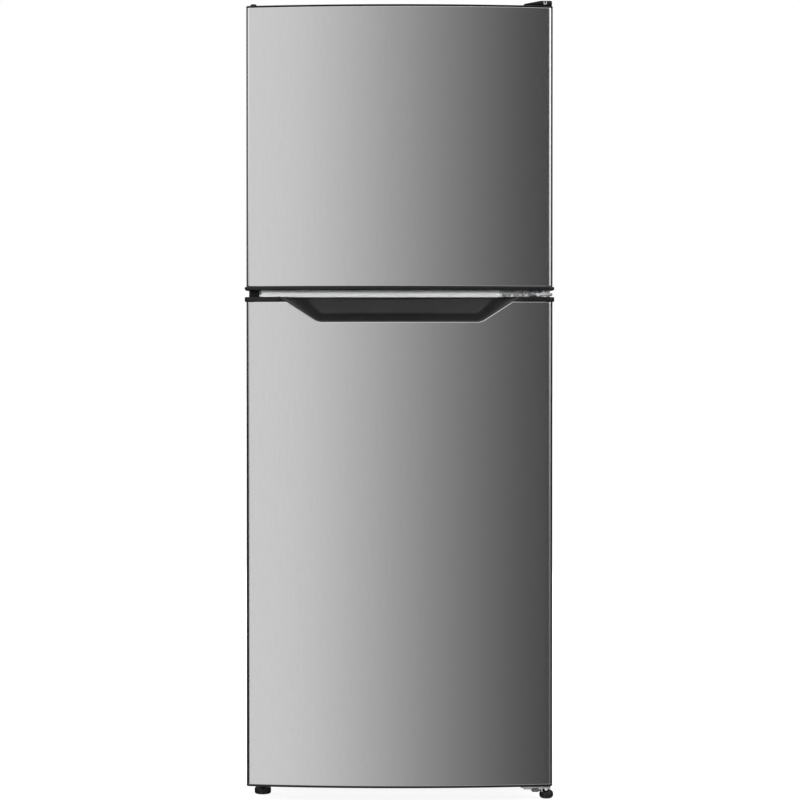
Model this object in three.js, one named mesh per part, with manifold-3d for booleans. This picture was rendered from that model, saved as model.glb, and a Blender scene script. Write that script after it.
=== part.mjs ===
// Top freezer refrigerator, two crowned steel doors hinged on the right.
// Millimetres, +Z up, -Y towards the user, origin at the middle of the footprint on the floor.
import * as THREE from 'three';
import { ConvexGeometry } from 'three/addons/geometries/ConvexGeometry.js';
import { mergeVertices } from 'three/addons/utils/BufferGeometryUtils.js';
import Module from 'manifold-3d';

const wasm = await Module();
wasm.setup();

// ---- Driving dimensions ----
const WIDTH = 545; // cabinet
const DOOR_WIDTH = 548.6; // steel door skins
const DEPTH = 550;
const CAP_OVERHANG = 3; // the two caps that face each other across the gap stand this far past the skins
const SHEET = 1.2; // formed steel sheet
const PLASTIC = 2; // vacuum-formed liner wall
const MOULDED = 2.5; // injection-moulded wall
const GAP = 0.3; // clearance between neighbours that don't share a flat face

const HALF_WIDTH = WIDTH / 2;
const DOOR_HALF = DOOR_WIDTH / 2;
const FRONT = -DEPTH / 2;
const REAR = DEPTH / 2;
const CABINET_BOTTOM = 30;
const CABINET_TOP = 1418;
const CABINET_FRONT = -201.5;
const REAR_PANEL_FRONT = REAR - 1.5;
const FLANGE_INNER = 250; // half-width at which the side panels' front flanges end

// Doors
const DOOR_BACK = -211;
const DOOR_CROWN = 22; // how far the middle of a door front stands forward of its side edges
const DOOR_CORNER = 8;
const SKIN_STEP = 0.6; // the skins sit this far behind the caps' front edge
const FREEZER_DOOR = { bottom: 914, skinBottom: 920.5, skinTop: 1419, top: 1422 };
const FRIDGE_DOOR = { bottom: 24.5, skinBottom: 27.5, skinTop: 893.5, top: 902 };
const PIVOT_X = 259;
const PLUG_X = -262; // the unused hinge bores, on the other side
const PIVOT_Y = DOOR_BACK - 22;
const PIN_RADIUS = 4;
const PIN_BORE_RADIUS = 4.6;

// Compartments, measured inside their liners
const FREEZER = { half: 226, floor: 945, ceiling: 1372, back: 208 };
const FRIDGE = { half: 230.5, floor: 100, ceiling: 870, back: 218 };
const STEP_FRONT = 58; // the fridge floor rises here, over the compressor bay
const STEP_TOP = 325;
const BAY_FRONT = 100;
const BAY_CEILING = 284;

// ---- Geometry helpers ----
function box(low, high) {
  const size = high.map((value, axis) => value - low[axis]);
  const middle = high.map((value, axis) => (value + low[axis]) / 2);
  return new THREE.BoxGeometry(...size).translate(...middle);
}

function shapeOf(points) {
  return new THREE.Shape(points.map(([x, y]) => new THREE.Vector2(x, y)));
}

// A prism of an outline in X and Y, between two heights.
function prismZ(points, low, high) {
  const made = new THREE.ExtrudeGeometry(shapeOf(points), { depth: high - low, bevelEnabled: false });
  return made.translate(0, 0, low);
}

// A prism of an outline in Y and Z, between two X places.
function prismX(points, low, high) {
  const made = new THREE.ExtrudeGeometry(shapeOf(points), { depth: high - low, bevelEnabled: false });
  const basis = new THREE.Matrix4().makeBasis(
    new THREE.Vector3(0, 1, 0),
    new THREE.Vector3(0, 0, 1),
    new THREE.Vector3(1, 0, 0),
  );
  return made.applyMatrix4(basis).translate(low, 0, 0);
}

// A prism of an outline in X and Z, between two Y places.
function prismY(points, low, high) {
  const made = new THREE.ExtrudeGeometry(shapeOf(points), { depth: high - low, bevelEnabled: false });
  return made.rotateX(Math.PI / 2).translate(0, high, 0);
}

// A turned solid about a vertical axis; the profile is [radius, height] pairs from the bottom up.
function turned(profile, x, y, sides = 20) {
  const points = profile.map(([radius, height]) => new THREE.Vector2(radius, height));
  return new THREE.LatheGeometry(points, sides).rotateX(Math.PI / 2).translate(x, y, 0);
}

function rod(radius, x, y, low, high, sides = 16) {
  return turned([[0, low], [radius, low], [radius, high], [0, high]], x, y, sides);
}

function rodY(radius, x, z, low, high, sides = 20) {
  return new THREE.CylinderGeometry(radius, radius, high - low, sides).translate(x, (low + high) / 2, z);
}

function rodX(radius, y, z, low, high, sides = 20) {
  const made = new THREE.CylinderGeometry(radius, radius, high - low, sides).rotateZ(Math.PI / 2);
  return made.translate((low + high) / 2, y, z);
}

// A rectangle in two axes with rounded corners, as a closed list of points.
function roundedRectangle(low, high, radius, steps = 4) {
  const corners = [
    [high[0] - radius, high[1] - radius, 0],
    [low[0] + radius, high[1] - radius, 1],
    [low[0] + radius, low[1] + radius, 2],
    [high[0] - radius, low[1] + radius, 3],
  ];
  const points = [];
  for (const [x, y, quarter] of corners) {
    for (let step = 0; step <= steps; step += 1) {
      const angle = (quarter + step / steps) * (Math.PI / 2);
      points.push([x + radius * Math.cos(angle), y + radius * Math.sin(angle)]);
    }
  }
  return points;
}

function solid(geometry) {
  const bare = geometry.index ? geometry.toNonIndexed() : geometry.clone();
  bare.deleteAttribute('normal');
  bare.deleteAttribute('uv');
  const merged = mergeVertices(bare, 1e-3);
  return new wasm.Manifold(new wasm.Mesh({
    numProp: 3,
    vertProperties: merged.attributes.position.array,
    triVerts: new Uint32Array(merged.index.array),
  }));
}

function geometryOf(made) {
  const mesh = made.getMesh();
  const positions = new Float32Array(mesh.triVerts.length * 3);
  mesh.triVerts.forEach((vertex, corner) => {
    for (let axis = 0; axis < 3; axis += 1) {
      positions[corner * 3 + axis] = mesh.vertProperties[vertex * mesh.numProp + axis];
    }
  });
  const geometry = new THREE.BufferGeometry();
  geometry.setAttribute('position', new THREE.BufferAttribute(positions, 3));
  geometry.computeVertexNormals();
  return geometry;
}

function joined(first, ...others) {
  return geometryOf(others.reduce((made, other) => made.add(solid(other)), solid(first)));
}

function cut(body, ...tools) {
  return geometryOf(tools.reduce((made, tool) => made.subtract(solid(tool)), solid(body)));
}

function common(first, second) {
  return geometryOf(solid(first).intersect(solid(second)));
}

// ---- Materials ----
function material(color, roughness, metalness, opacity = 1) {
  return new THREE.MeshStandardMaterial({ color, roughness, metalness, opacity, transparent: opacity < 1 });
}

const STAINLESS = material(0xa9a9a9, 0.38, 1);
const CABINET_PAINT = material(0xa6a8aa, 0.45, 0.3);
const SILVER_TRIM = material(0xd6d8da, 0.4, 0.4);
const BLACK_PLASTIC = material(0x242527, 0.45, 0);
const LINER_PLASTIC = material(0xeef0f0, 0.35, 0);
const CLEAR_PLASTIC = material(0xdfe8ea, 0.15, 0, 0.5);
const SHELF_GLASS = material(0xcfe3df, 0.05, 0, 0.4);
const FOAM = material(0xe4d7a8, 0.9, 0);
const GASKET_RUBBER = material(0x8c8e90, 0.7, 0);
const ZINC = material(0xc9ccd0, 0.3, 1);
const GALVANISED = material(0x9fa4a8, 0.5, 0.8);
const COMPRESSOR_PAINT = material(0x17181a, 0.4, 0.2);
const COPPER = material(0xb87349, 0.3, 1);
const ALUMINIUM = material(0xc6c9cc, 0.4, 1);

const refrigerator = new THREE.Group();

function place(name, geometry, look) {
  const mesh = new THREE.Mesh(geometry, look);
  mesh.name = name;
  refrigerator.add(mesh);
}

// ---- Cabinet shell ----
// One side of the cabinet with its narrow front flange; side is -1 for left and 1 for right.
function sidePanel(side) {
  const outline = [
    [side * HALF_WIDTH, CABINET_FRONT],
    [side * HALF_WIDTH, REAR],
    [side * (HALF_WIDTH - SHEET), REAR],
    [side * (HALF_WIDTH - SHEET), CABINET_FRONT + SHEET],
    [side * (FLANGE_INNER + GAP), CABINET_FRONT + SHEET],
    [side * (FLANGE_INNER + GAP), CABINET_FRONT],
  ];
  return prismZ(outline, CABINET_BOTTOM, CABINET_TOP - SHEET - GAP);
}

const HEADER_BOTTOM = 1397.3;

function topPanel() {
  const plate = box([-HALF_WIDTH, CABINET_FRONT, CABINET_TOP - SHEET], [HALF_WIDTH, REAR, CABINET_TOP]);
  const header = box(
    [-FLANGE_INNER, CABINET_FRONT, HEADER_BOTTOM],
    [FLANGE_INNER, CABINET_FRONT + SHEET, CABINET_TOP - SHEET / 2],
  );
  return joined(plate, header);
}

const PANEL_HALF = HALF_WIDTH - SHEET - GAP; // what fits between the side panels

function rearPanel() {
  return box(
    [-PANEL_HALF, REAR_PANEL_FRONT, BAY_CEILING + 1.5],
    [PANEL_HALF, REAR, CABINET_TOP - SHEET - GAP],
  );
}

const FRONT_RAIL_TOP = 60;
const LEFT_FOOT = { x: -249, y: -186, stemRadius: 4, stemTop: 50 };

// The floor sheet, which steps up over the compressor bay and turns up at the front as a rail.
function baseTray() {
  const low = CABINET_BOTTOM;
  const profile = [
    [CABINET_FRONT, low],
    [BAY_FRONT, low],
    [BAY_FRONT, BAY_CEILING],
    [REAR_PANEL_FRONT - GAP, BAY_CEILING],
    [REAR_PANEL_FRONT - GAP, BAY_CEILING + SHEET],
    [BAY_FRONT - SHEET, BAY_CEILING + SHEET],
    [BAY_FRONT - SHEET, low + SHEET],
    [CABINET_FRONT + SHEET, low + SHEET],
    [CABINET_FRONT + SHEET, FRONT_RAIL_TOP],
    [CABINET_FRONT, FRONT_RAIL_TOP],
  ];
  const sheet = prismX(profile, -PANEL_HALF, PANEL_HALF);
  const relief = (side) => box(
    [side < 0 ? -HALF_WIDTH : FLANGE_INNER, CABINET_FRONT - 1, low - 1],
    [side < 0 ? -FLANGE_INNER : HALF_WIDTH, CABINET_FRONT + SHEET + GAP, FRONT_RAIL_TOP + 1],
  );
  const stemHole = rod(LEFT_FOOT.stemRadius + 1, LEFT_FOOT.x, LEFT_FOOT.y, low - 5, low + 5);
  return cut(sheet, relief(-1), relief(1), stemHole);
}

// ---- Liners and foam ----
const FLANGE_BACK = CABINET_FRONT + 1.5;

// The freezer cavity grown by a margin, open at the front.
function freezerSpace(grow) {
  return box(
    [-FREEZER.half - grow, CABINET_FRONT - 10, FREEZER.floor - grow],
    [FREEZER.half + grow, FREEZER.back + grow, FREEZER.ceiling + grow],
  );
}

// The fridge cavity grown by a margin, with its step over the compressor bay.
function fridgeSpace(grow) {
  const profile = [
    [CABINET_FRONT - 10, FRIDGE.floor - grow],
    [STEP_FRONT + grow, FRIDGE.floor - grow],
    [STEP_FRONT + grow, STEP_TOP - grow],
    [FRIDGE.back + grow, STEP_TOP - grow],
    [FRIDGE.back + grow, FRIDGE.ceiling + grow],
    [CABINET_FRONT - 10, FRIDGE.ceiling + grow],
  ];
  return prismX(profile, -FRIDGE.half - grow, FRIDGE.half + grow);
}

const DIVIDER_LOW = 884.7; // the liners' front flanges stop at the mullion trim
const DIVIDER_HIGH = 940.3;

// A liner tub: walls around the cavity and a flange around its mouth.
function linerTub(space, flangeLow, flangeHigh, ledges) {
  const behindFront = box([-400, CABINET_FRONT, 0], [400, REAR, CABINET_TOP]);
  const walls = common(space(PLASTIC), behindFront);
  const flange = box([-FLANGE_INNER, CABINET_FRONT, flangeLow], [FLANGE_INNER, FLANGE_BACK, flangeHigh]);
  return joined(cut(joined(walls, flange), space(0)), ...ledges);
}

const SHELF_FRONT = -95;
const SHELF_BACK = 186;
const LEDGE_WIDTH = 8;
const LEDGE_HEIGHT = 6;

// A pair of shelf ledges standing in from the side walls, with their tops at the given height.
function shelfLedges(half, top) {
  return [-1, 1].map((side) => box(
    [side < 0 ? -half - PLASTIC / 2 : half - LEDGE_WIDTH, SHELF_FRONT + 6, top - LEDGE_HEIGHT],
    [side < 0 ? -half + LEDGE_WIDTH : half + PLASTIC / 2, SHELF_BACK - 40, top],
  ));
}

const FREEZER_SHELF_BOTTOM = 1150;
const GLASS_SHELVES = { upper_glass_shelf: 640, lower_glass_shelf: 470 };

function freezerLiner() {
  const ledges = shelfLedges(FREEZER.half, FREEZER_SHELF_BOTTOM - GAP);
  return linerTub(freezerSpace, DIVIDER_HIGH, HEADER_BOTTOM - GAP, ledges);
}

function fridgeLiner() {
  const ledges = Object.values(GLASS_SHELVES).flatMap((bottom) => shelfLedges(FRIDGE.half, bottom - GAP));
  return linerTub(fridgeSpace, FRONT_RAIL_TOP + GAP, DIVIDER_LOW, ledges);
}

function cabinetFoam() {
  const block = box(
    [-PANEL_HALF, FLANGE_BACK + GAP, CABINET_BOTTOM + SHEET + GAP],
    [PANEL_HALF, REAR_PANEL_FRONT - GAP, CABINET_TOP - SHEET - GAP],
  );
  const bay = box([-400, BAY_FRONT - SHEET - GAP, 0], [400, 400, BAY_CEILING + SHEET + GAP]);
  const stemPocket = rod(LEFT_FOOT.stemRadius + 1, LEFT_FOOT.x, LEFT_FOOT.y, 0, LEFT_FOOT.stemTop + 3);
  return cut(block, bay, freezerSpace(PLASTIC + GAP), fridgeSpace(PLASTIC + GAP), stemPocket);
}

function mullionTrim() {
  return box(
    [-FLANGE_INNER, CABINET_FRONT, DIVIDER_LOW + GAP],
    [FLANGE_INNER, CABINET_FRONT + SHEET, DIVIDER_HIGH - GAP],
  );
}

// ---- Hinges and their covers ----
const HINGE_FRONT = PIVOT_Y - 14;

function topHingeBracket() {
  const low = CABINET_TOP + GAP;
  const high = FREEZER_DOOR.top + 2;
  const thick = 3;
  const profile = [
    [-150, low],
    [-150, low + thick],
    [-195, low + thick],
    [-195, high + thick],
    [HINGE_FRONT, high + thick],
    [HINGE_FRONT, high],
    [-195 - thick, high],
    [-195 - thick, low],
  ];
  const plate = prismX(profile.reverse(), 238, 269);
  const pin = rod(PIN_RADIUS, PIVOT_X, PIVOT_Y, FREEZER_DOOR.top - 12, high + 1);
  return joined(plate, pin);
}

const HINGE_COVER = { left: 222, right: 272.8, front: -252, back: -138, top: 1436.2, ridge: 252 };

// A hollow wedge-topped cover, open underneath, that steps up over the freezer door.
function topHingeCover() {
  const wedge = (shrink, low) => {
    const { left, right, top, ridge } = HINGE_COVER;
    return [
      [left + shrink, low],
      [right - shrink, low],
      [right - shrink, top - 1.5 - shrink],
      [right - 1.5 - shrink, top - shrink],
      [ridge, top - shrink],
      [left + 3 + shrink, FREEZER_DOOR.top + 4 - shrink / 2],
      [left + shrink, FREEZER_DOOR.top + 2.6 - shrink / 2],
    ];
  };
  const low = CABINET_TOP + GAP;
  const outer = prismY(wedge(0, low), HINGE_COVER.front, HINGE_COVER.back);
  const inner = prismY(wedge(PLASTIC, low - 5), HINGE_COVER.front + PLASTIC, HINGE_COVER.back - PLASTIC);
  const overDoor = box([200, -300, low - 5], [300, CABINET_FRONT - 2, FREEZER_DOOR.top + 1.5]);
  return cut(outer, inner, overDoor);
}

const MIDDLE_ARM = { low: 905, high: 909 };

function middleHingeBracket() {
  const flange = box([180.8, CABINET_FRONT - 2.8, 895.5], [270, CABINET_FRONT - GAP, 918.5]);
  const armOutline = [
    [232, CABINET_FRONT - 1.5],
    [236, PIVOT_Y - 6],
    [246, HINGE_FRONT],
    [270, HINGE_FRONT],
    [274.5, PIVOT_Y - 6],
    [274.5, DOOR_BACK],
    [270, CABINET_FRONT - 1.5],
  ];
  const arm = prismZ(armOutline, MIDDLE_ARM.low, MIDDLE_ARM.high);
  const pin = rod(PIN_RADIUS, PIVOT_X, PIVOT_Y, MIDDLE_ARM.low - 14, MIDDLE_ARM.high + 14);
  return joined(flange, arm, pin);
}

// Closes the hinge screw holes on the side that the doors don't hang from.
function hingeHoleCover() {
  return box([-272, CABINET_FRONT - 5, 896.5], [-254, CABINET_FRONT - GAP, 917.5]);
}

const BOTTOM_PLATE = { low: 19.2, high: 22.2, left: 218, right: 272, back: -130, step: -193 };

// A plate screwed under the cabinet, stepped down to pass below the door, with the door's stop and pin.
function bottomHingeBracket() {
  const { low, high, left, right, back, step } = BOTTOM_PLATE;
  const thick = high - low;
  const tabHigh = CABINET_BOTTOM - GAP;
  const profile = [
    [back, tabHigh - thick],
    [back, tabHigh],
    [step - thick, tabHigh],
    [step - thick, high],
    [HINGE_FRONT, high],
    [HINGE_FRONT, low],
    [step, low],
    [step, tabHigh - thick],
  ];
  const outline = [
    [left, back + 1],
    [left, -238],
    [left + 8, HINGE_FRONT - 1],
    [right - 4, HINGE_FRONT - 1],
    [right, -242],
    [right, back + 1],
  ];
  const plate = common(prismX(profile, left, right), prismZ(outline, low - 1, tabHigh + 1));
  const stop = box([238, -222, low - 8.7], [255.4, -202, low + 1]);
  const pin = rod(PIN_RADIUS, PIVOT_X, PIVOT_Y, low + 1, FRIDGE_DOOR.bottom + 11);
  return joined(plate, stop, pin);
}

// ---- Feet and rollers ----
const RIGHT_FOOT_X = 264.5;

function leftFoot() {
  const profile = [
    [0, 0], [13.5, 0], [15, 1.5], [15, 9], [12, 12], [7, 13], [7, 19],
    [LEFT_FOOT.stemRadius, 19], [LEFT_FOOT.stemRadius, LEFT_FOOT.stemTop], [0, LEFT_FOOT.stemTop],
  ];
  return turned(profile, LEFT_FOOT.x, LEFT_FOOT.y);
}

function rightFoot() {
  const profile = [
    [0, 0], [8, 0], [11, 2], [12.6, 5.5], [12.6, 9], [10.5, 13], [7, 15.5], [7, 17.3],
    [PIN_RADIUS, 17.3], [PIN_RADIUS, BOTTOM_PLATE.low - GAP], [0, BOTTOM_PLATE.low - GAP],
  ];
  return turned(profile, RIGHT_FOOT_X, PIVOT_Y);
}

const ROLLER = { radius: 13, width: 20, x: 236, y: 238, axle: 4 };

function roller(side) {
  const centre = side * ROLLER.x;
  const { radius, width, y, axle } = ROLLER;
  const wheel = rodX(radius, y, radius, centre - width / 2, centre + width / 2, 28);
  const bore = rodX(axle + 0.5, y, radius, centre - width, centre + width, 16);
  return cut(wheel, bore);
}

function rollerBracket(side) {
  const centre = side * ROLLER.x;
  const inside = ROLLER.width / 2 + 1.5;
  const outside = inside + 2.5;
  const high = CABINET_BOTTOM - GAP;
  const strap = box([centre - outside, ROLLER.y - 14, 7], [centre + outside, ROLLER.y + 14, high]);
  const room = box([centre - inside, ROLLER.y - 20, 0], [centre + inside, ROLLER.y + 20, high - 2.5]);
  const axle = rodX(ROLLER.axle, ROLLER.y, ROLLER.radius, centre - outside - 1, centre + outside + 1, 16);
  return joined(cut(strap, room), axle);
}

// ---- Compressor bay ----
function compressorPlate() {
  const profile = [
    [BAY_FRONT + GAP, CABINET_BOTTOM],
    [REAR, CABINET_BOTTOM],
    [REAR, CABINET_BOTTOM + 18],
    [REAR - 2, CABINET_BOTTOM + 18],
    [REAR - 2, CABINET_BOTTOM + 2],
    [BAY_FRONT + GAP, CABINET_BOTTOM + 2],
  ];
  return prismX(profile, -PANEL_HALF, PANEL_HALF);
}

const COMPRESSOR = { x: -105, y: 188, base: 46, seam: 112, top: 196, halfX: 76, halfY: 62 };

function compressor() {
  const { x, y, base, seam, top, halfX, halfY } = COMPRESSOR;
  const profile = [
    [0, base], [0.62, base], [0.86, base + 8], [0.97, base + 26], [0.97, seam - 4], [1.04, seam - 4],
    [1.04, seam], [0.97, seam], [0.95, top - 34], [0.82, top - 12], [0.55, top - 2], [0, top],
  ];
  const points = profile.map(([share, height]) => new THREE.Vector2(share, height));
  const shell = new THREE.LatheGeometry(points, 24).rotateX(Math.PI / 2);
  shell.scale(halfX, halfY, 1).translate(x, y, 0);
  const mounting = prismZ(roundedRectangle([x - 92, y - 66], [x + 92, y + 66], 14), base - 3, base + 1);
  return joined(shell, mounting);
}

function starterRelayBox() {
  const edge = COMPRESSOR.x + COMPRESSOR.halfX + 4;
  const outline = roundedRectangle([edge, COMPRESSOR.y - 26], [edge + 30, COMPRESSOR.y + 26], 5, 2);
  return prismZ(outline, 118, 172);
}

const DRAIN_PAN = { low: 204, high: 234 };

function drainPan() {
  const { x, y } = COMPRESSOR;
  const outline = roundedRectangle([x - 98, y - 68], [x + 98, y + 68], 16);
  const outer = prismZ(outline, DRAIN_PAN.low, DRAIN_PAN.high);
  const inner = prismZ(
    roundedRectangle([x - 95.5, y - 65.5], [x + 95.5, y + 65.5], 14),
    DRAIN_PAN.low + MOULDED,
    DRAIN_PAN.high + 5,
  );
  return cut(outer, inner);
}

// A copper tube of eight sides along a smooth curve.
function tube(points, radius, steps) {
  const section = new THREE.Shape();
  section.absarc(0, 0, radius, 0, Math.PI * 2);
  const stops = points.map((point) => new THREE.Vector3(...point));
  const path = new THREE.CatmullRomCurve3(stops, false, 'centripetal');
  return new THREE.ExtrudeGeometry(section, { steps, curveSegments: 4, extrudePath: path });
}

function suctionLine() {
  const route = [
    [-24, 150, 108], [-2, 150, 100], [20, 150, 110], [26, 152, 150], [26, 160, 220], [26, 162, 256],
    [26, 162, BAY_CEILING - GAP],
  ];
  return tube(route, 4, 30);
}

function dischargeLine() {
  const route = [
    [-24, 222, 84], [10, 226, 80], [60, 226, 82], [120, 222, 96], [150, 205, 140], [152, 190, 200],
    [152, 186, BAY_CEILING - GAP],
  ];
  return tube(route, 3, 32);
}

// The mains lead's gland in the compressor plate's rear lip; the lead isn't part of the model.
function cordGland() {
  const body = rodY(9, 205, 92, REAR - 24, REAR - 4);
  const base = box([190, REAR - 24, 79], [220, REAR - 19, 105]);
  const foot = box([196, REAR - 24, CABINET_BOTTOM + 2 + GAP], [214, REAR - 20, 82]);
  const bore = rodY(4, 205, 92, REAR - 16, REAR + 5);
  return cut(joined(base, body, foot), bore);
}

// ---- Freezer compartment ----
const EVAPORATOR_COVER = { front: 156, thick: 2.5 };
const FAN = { x: 0, z: 1262, radius: 50, front: 168, back: 186 };

function evaporatorCover() {
  const back = EVAPORATOR_COVER.front + EVAPORATOR_COVER.thick;
  const panel = box(
    [-FREEZER.half + GAP, EVAPORATOR_COVER.front, FREEZER.floor + GAP],
    [FREEZER.half - GAP, back, FREEZER.ceiling - GAP],
  );
  const opening = rodY(FAN.radius + 4, FAN.x, FAN.z, EVAPORATOR_COVER.front - 5, back + 5, 32);
  const slots = [];
  for (let row = -4; row <= 4; row += 1) {
    const middle = FAN.z + row * 12;
    const bar = box([-80, EVAPORATOR_COVER.front - 5, middle - 4], [80, back + 5, middle + 4]);
    slots.push(common(opening, bar));
  }
  const returns = [-1, 1].map((side) => box(
    [side * 130 - 60, EVAPORATOR_COVER.front - 5, FREEZER.floor + 12],
    [side * 130 + 60, back + 5, FREEZER.floor + 24],
  ));
  return cut(panel, ...slots, ...returns);
}

// A finned block: the fins stand between slots that open upwards.
function evaporator() {
  const half = 170;
  const pitch = 17;
  const block = box([-half, 168, 984], [half, 198, 1150]);
  const slots = [];
  for (let x = -half + pitch; x < half; x += pitch) {
    slots.push(box([x - 6, 172, 992], [x + 6, 230, 1200]));
  }
  return cut(block, ...slots);
}

function evaporatorFan() {
  const hub = rodY(15, FAN.x, FAN.z, FAN.front, FAN.back);
  const blades = [];
  const count = 5;
  for (let index = 0; index < count; index += 1) {
    const blade = new THREE.BoxGeometry(FAN.radius - 10, 2.4, 22).rotateX(0.5);
    blade.translate(10 + (FAN.radius - 10) / 2, 0, 0).rotateY((index / count) * Math.PI * 2);
    blades.push(blade.translate(FAN.x, (FAN.front + FAN.back) / 2, FAN.z));
  }
  return joined(hub, ...blades);
}

function fanMotor() {
  const can = rodY(21, FAN.x, FAN.z, FAN.back + 1, FREEZER.back - GAP);
  const arm = box([-70, FAN.back + 8, FAN.z - 8], [70, FAN.back + 12, FAN.z + 8]);
  return joined(can, arm);
}

const FREEZER_KNOB = { x: 150, z: 1322 };

function freezerKnob() {
  const face = EVAPORATOR_COVER.front - GAP;
  const dial = rodY(17, FREEZER_KNOB.x, FREEZER_KNOB.z, face - 5, face, 24);
  const grip = box(
    [FREEZER_KNOB.x - 3.5, face - 15, FREEZER_KNOB.z - 14],
    [FREEZER_KNOB.x + 3.5, face - 4, FREEZER_KNOB.z + 14],
  );
  return joined(dial, grip);
}

function freezerShelf() {
  return box(
    [-FREEZER.half + 2, SHELF_FRONT, FREEZER_SHELF_BOTTOM],
    [FREEZER.half - 2, EVAPORATOR_COVER.front - 12, FREEZER_SHELF_BOTTOM + 5],
  );
}

// ---- Fridge compartment ----
const DUCT = { half: 42, front: 192, bottom: 420 };

function airDuct() {
  const outline = [
    [-DUCT.half, FRIDGE.back - GAP],
    [-DUCT.half + 8, DUCT.front],
    [DUCT.half - 8, DUCT.front],
    [DUCT.half, FRIDGE.back - GAP],
    [DUCT.half - 3, FRIDGE.back - GAP],
    [DUCT.half - 10, DUCT.front + MOULDED],
    [-DUCT.half + 10, DUCT.front + MOULDED],
    [-DUCT.half + 3, FRIDGE.back - GAP],
  ];
  const channel = prismZ(outline, DUCT.bottom, FRIDGE.ceiling - GAP);
  const vents = [760, 590].map((height) => box(
    [-20, DUCT.front - 5, height],
    [20, DUCT.front + 6, height + 12],
  ));
  return cut(channel, ...vents);
}

const HOUSING = { half: 118, front: -100, back: 40, low: 826 };

function controlHousing() {
  const high = FRIDGE.ceiling - GAP;
  const profile = [
    [HOUSING.front, high],
    [HOUSING.back, high],
    [HOUSING.back, HOUSING.low + 8],
    [HOUSING.back - 12, HOUSING.low],
    [HOUSING.front + 4, HOUSING.low],
    [HOUSING.front, HOUSING.low + 4],
  ].reverse();
  const shell = prismX(profile, -HOUSING.half, HOUSING.half);
  const hollow = box(
    [-HOUSING.half + MOULDED, HOUSING.front + MOULDED, HOUSING.low + MOULDED],
    [HOUSING.half - MOULDED, HOUSING.back - MOULDED, high + 5],
  );
  return cut(shell, hollow);
}

const THERMOSTAT = { x: 62, z: 848 };

function thermostatKnob() {
  const face = HOUSING.front - GAP;
  const dial = rodY(17, THERMOSTAT.x, THERMOSTAT.z, face - 5, face, 24);
  const grip = box(
    [THERMOSTAT.x - 3.5, face - 14, THERMOSTAT.z - 14],
    [THERMOSTAT.x + 3.5, face - 4, THERMOSTAT.z + 14],
  );
  return joined(dial, grip);
}

function lightLens() {
  const face = HOUSING.front - GAP;
  return prismY(roundedRectangle([-98, 836], [-8, 862], 5, 3), face - 4, face);
}

// The glass pane of one shelf; its trim is part of the same pressed piece.
function glassShelf(bottom) {
  return prismZ(
    roundedRectangle([-FRIDGE.half + 1.5, SHELF_FRONT], [FRIDGE.half - 1.5, SHELF_BACK], 6, 2),
    bottom,
    bottom + 8,
  );
}

const CRISPER = { half: 205, front: -98, back: 50, low: 100.5, high: 302 };

function crisperCover() {
  return box(
    [-FRIDGE.half + 1.5, SHELF_FRONT, STEP_TOP + GAP],
    [FRIDGE.half - 1.5, SHELF_BACK, STEP_TOP + 6],
  );
}

function crisperDrawer() {
  const { half, front, back, low, high } = CRISPER;
  const body = prismZ(roundedRectangle([-half + 4, front], [half - 4, back], 8), low, high - 6);
  const face = prismZ(roundedRectangle([-half, front], [half, front + 8], 3, 2), low + 4, high);
  const inner = prismZ(
    roundedRectangle([-half + 7, front + 8], [half - 7, back - 3], 8),
    low + 3,
    high + 5,
  );
  const gripSlot = box([-55, front - 5, high - 22], [55, front + 4, high - 10]);
  return cut(joined(body, face), inner, gripSlot);
}

// ---- Doors ----
// The front edge of a door from left to right: crowned, with rounded corners and straight sides.
function doorEdge(sideInset, frontInset, back) {
  const half = DOOR_HALF - sideInset;
  const crownY = (x) => FRONT + frontInset + DOOR_CROWN * (x / DOOR_HALF) ** 2;
  const bend = half - DOOR_CORNER;
  const segments = 22;
  const points = [[-half, back]];
  const cornerSteps = 4;
  const corner = (share) => {
    const angle = (share * Math.PI) / 2;
    return [bend + DOOR_CORNER * Math.sin(angle), crownY(bend) + 1 + DOOR_CORNER * (1 - Math.cos(angle))];
  };
  for (let step = cornerSteps; step >= 1; step -= 1) {
    const [x, y] = corner(step / cornerSteps);
    points.push([-x, y]);
  }
  for (let step = 0; step <= segments; step += 1) {
    const x = -bend + (2 * bend * step) / segments;
    points.push([x, crownY(x)]);
  }
  for (let step = 1; step <= cornerSteps; step += 1) {
    points.push(corner(step / cornerSteps));
  }
  points.push([half, back]);
  return points;
}

function doorSlab(sideInset, frontInset, back, low, high) {
  return prismZ(doorEdge(sideInset, frontInset, back), low, high);
}

const LINER_PLATE_FRONT = DOOR_BACK - PLASTIC;

function doorSkin(door) {
  const outer = doorSlab(0, SKIN_STEP, DOOR_BACK, door.skinBottom, door.skinTop);
  const inner = doorSlab(SHEET, SKIN_STEP + SHEET, DOOR_BACK + 5, door.skinBottom - 5, door.skinTop + 5);
  return cut(outer, inner);
}

const PLUG_DEPTH = 12;

// An end cap: a rim as wide as the door and a plug inside the skin, bored at both sides so
// that the door can be hung either way round. outward is 1 for a top cap, -1 for a bottom cap.
function doorCap(rimLow, rimHigh, outward, overhang) {
  const rim = doorSlab(-overhang, 0, DOOR_BACK, rimLow, rimHigh);
  const plugLow = outward > 0 ? rimLow - PLUG_DEPTH : rimHigh - 1;
  const plugHigh = outward > 0 ? rimLow + 1 : rimHigh + PLUG_DEPTH;
  const plug = doorSlab(SHEET + GAP, SKIN_STEP + SHEET + GAP, LINER_PLATE_FRONT - GAP, plugLow, plugHigh);
  const mouth = outward > 0 ? rimHigh : rimLow;
  const end = mouth - outward * 14;
  const bores = [PLUG_X, PIVOT_X].map((x) => rod(
    PIN_BORE_RADIUS, x, PIVOT_Y,
    Math.min(mouth + outward, end), Math.max(mouth + outward, end),
  ));
  return cut(joined(rim, plug), ...bores);
}

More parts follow.
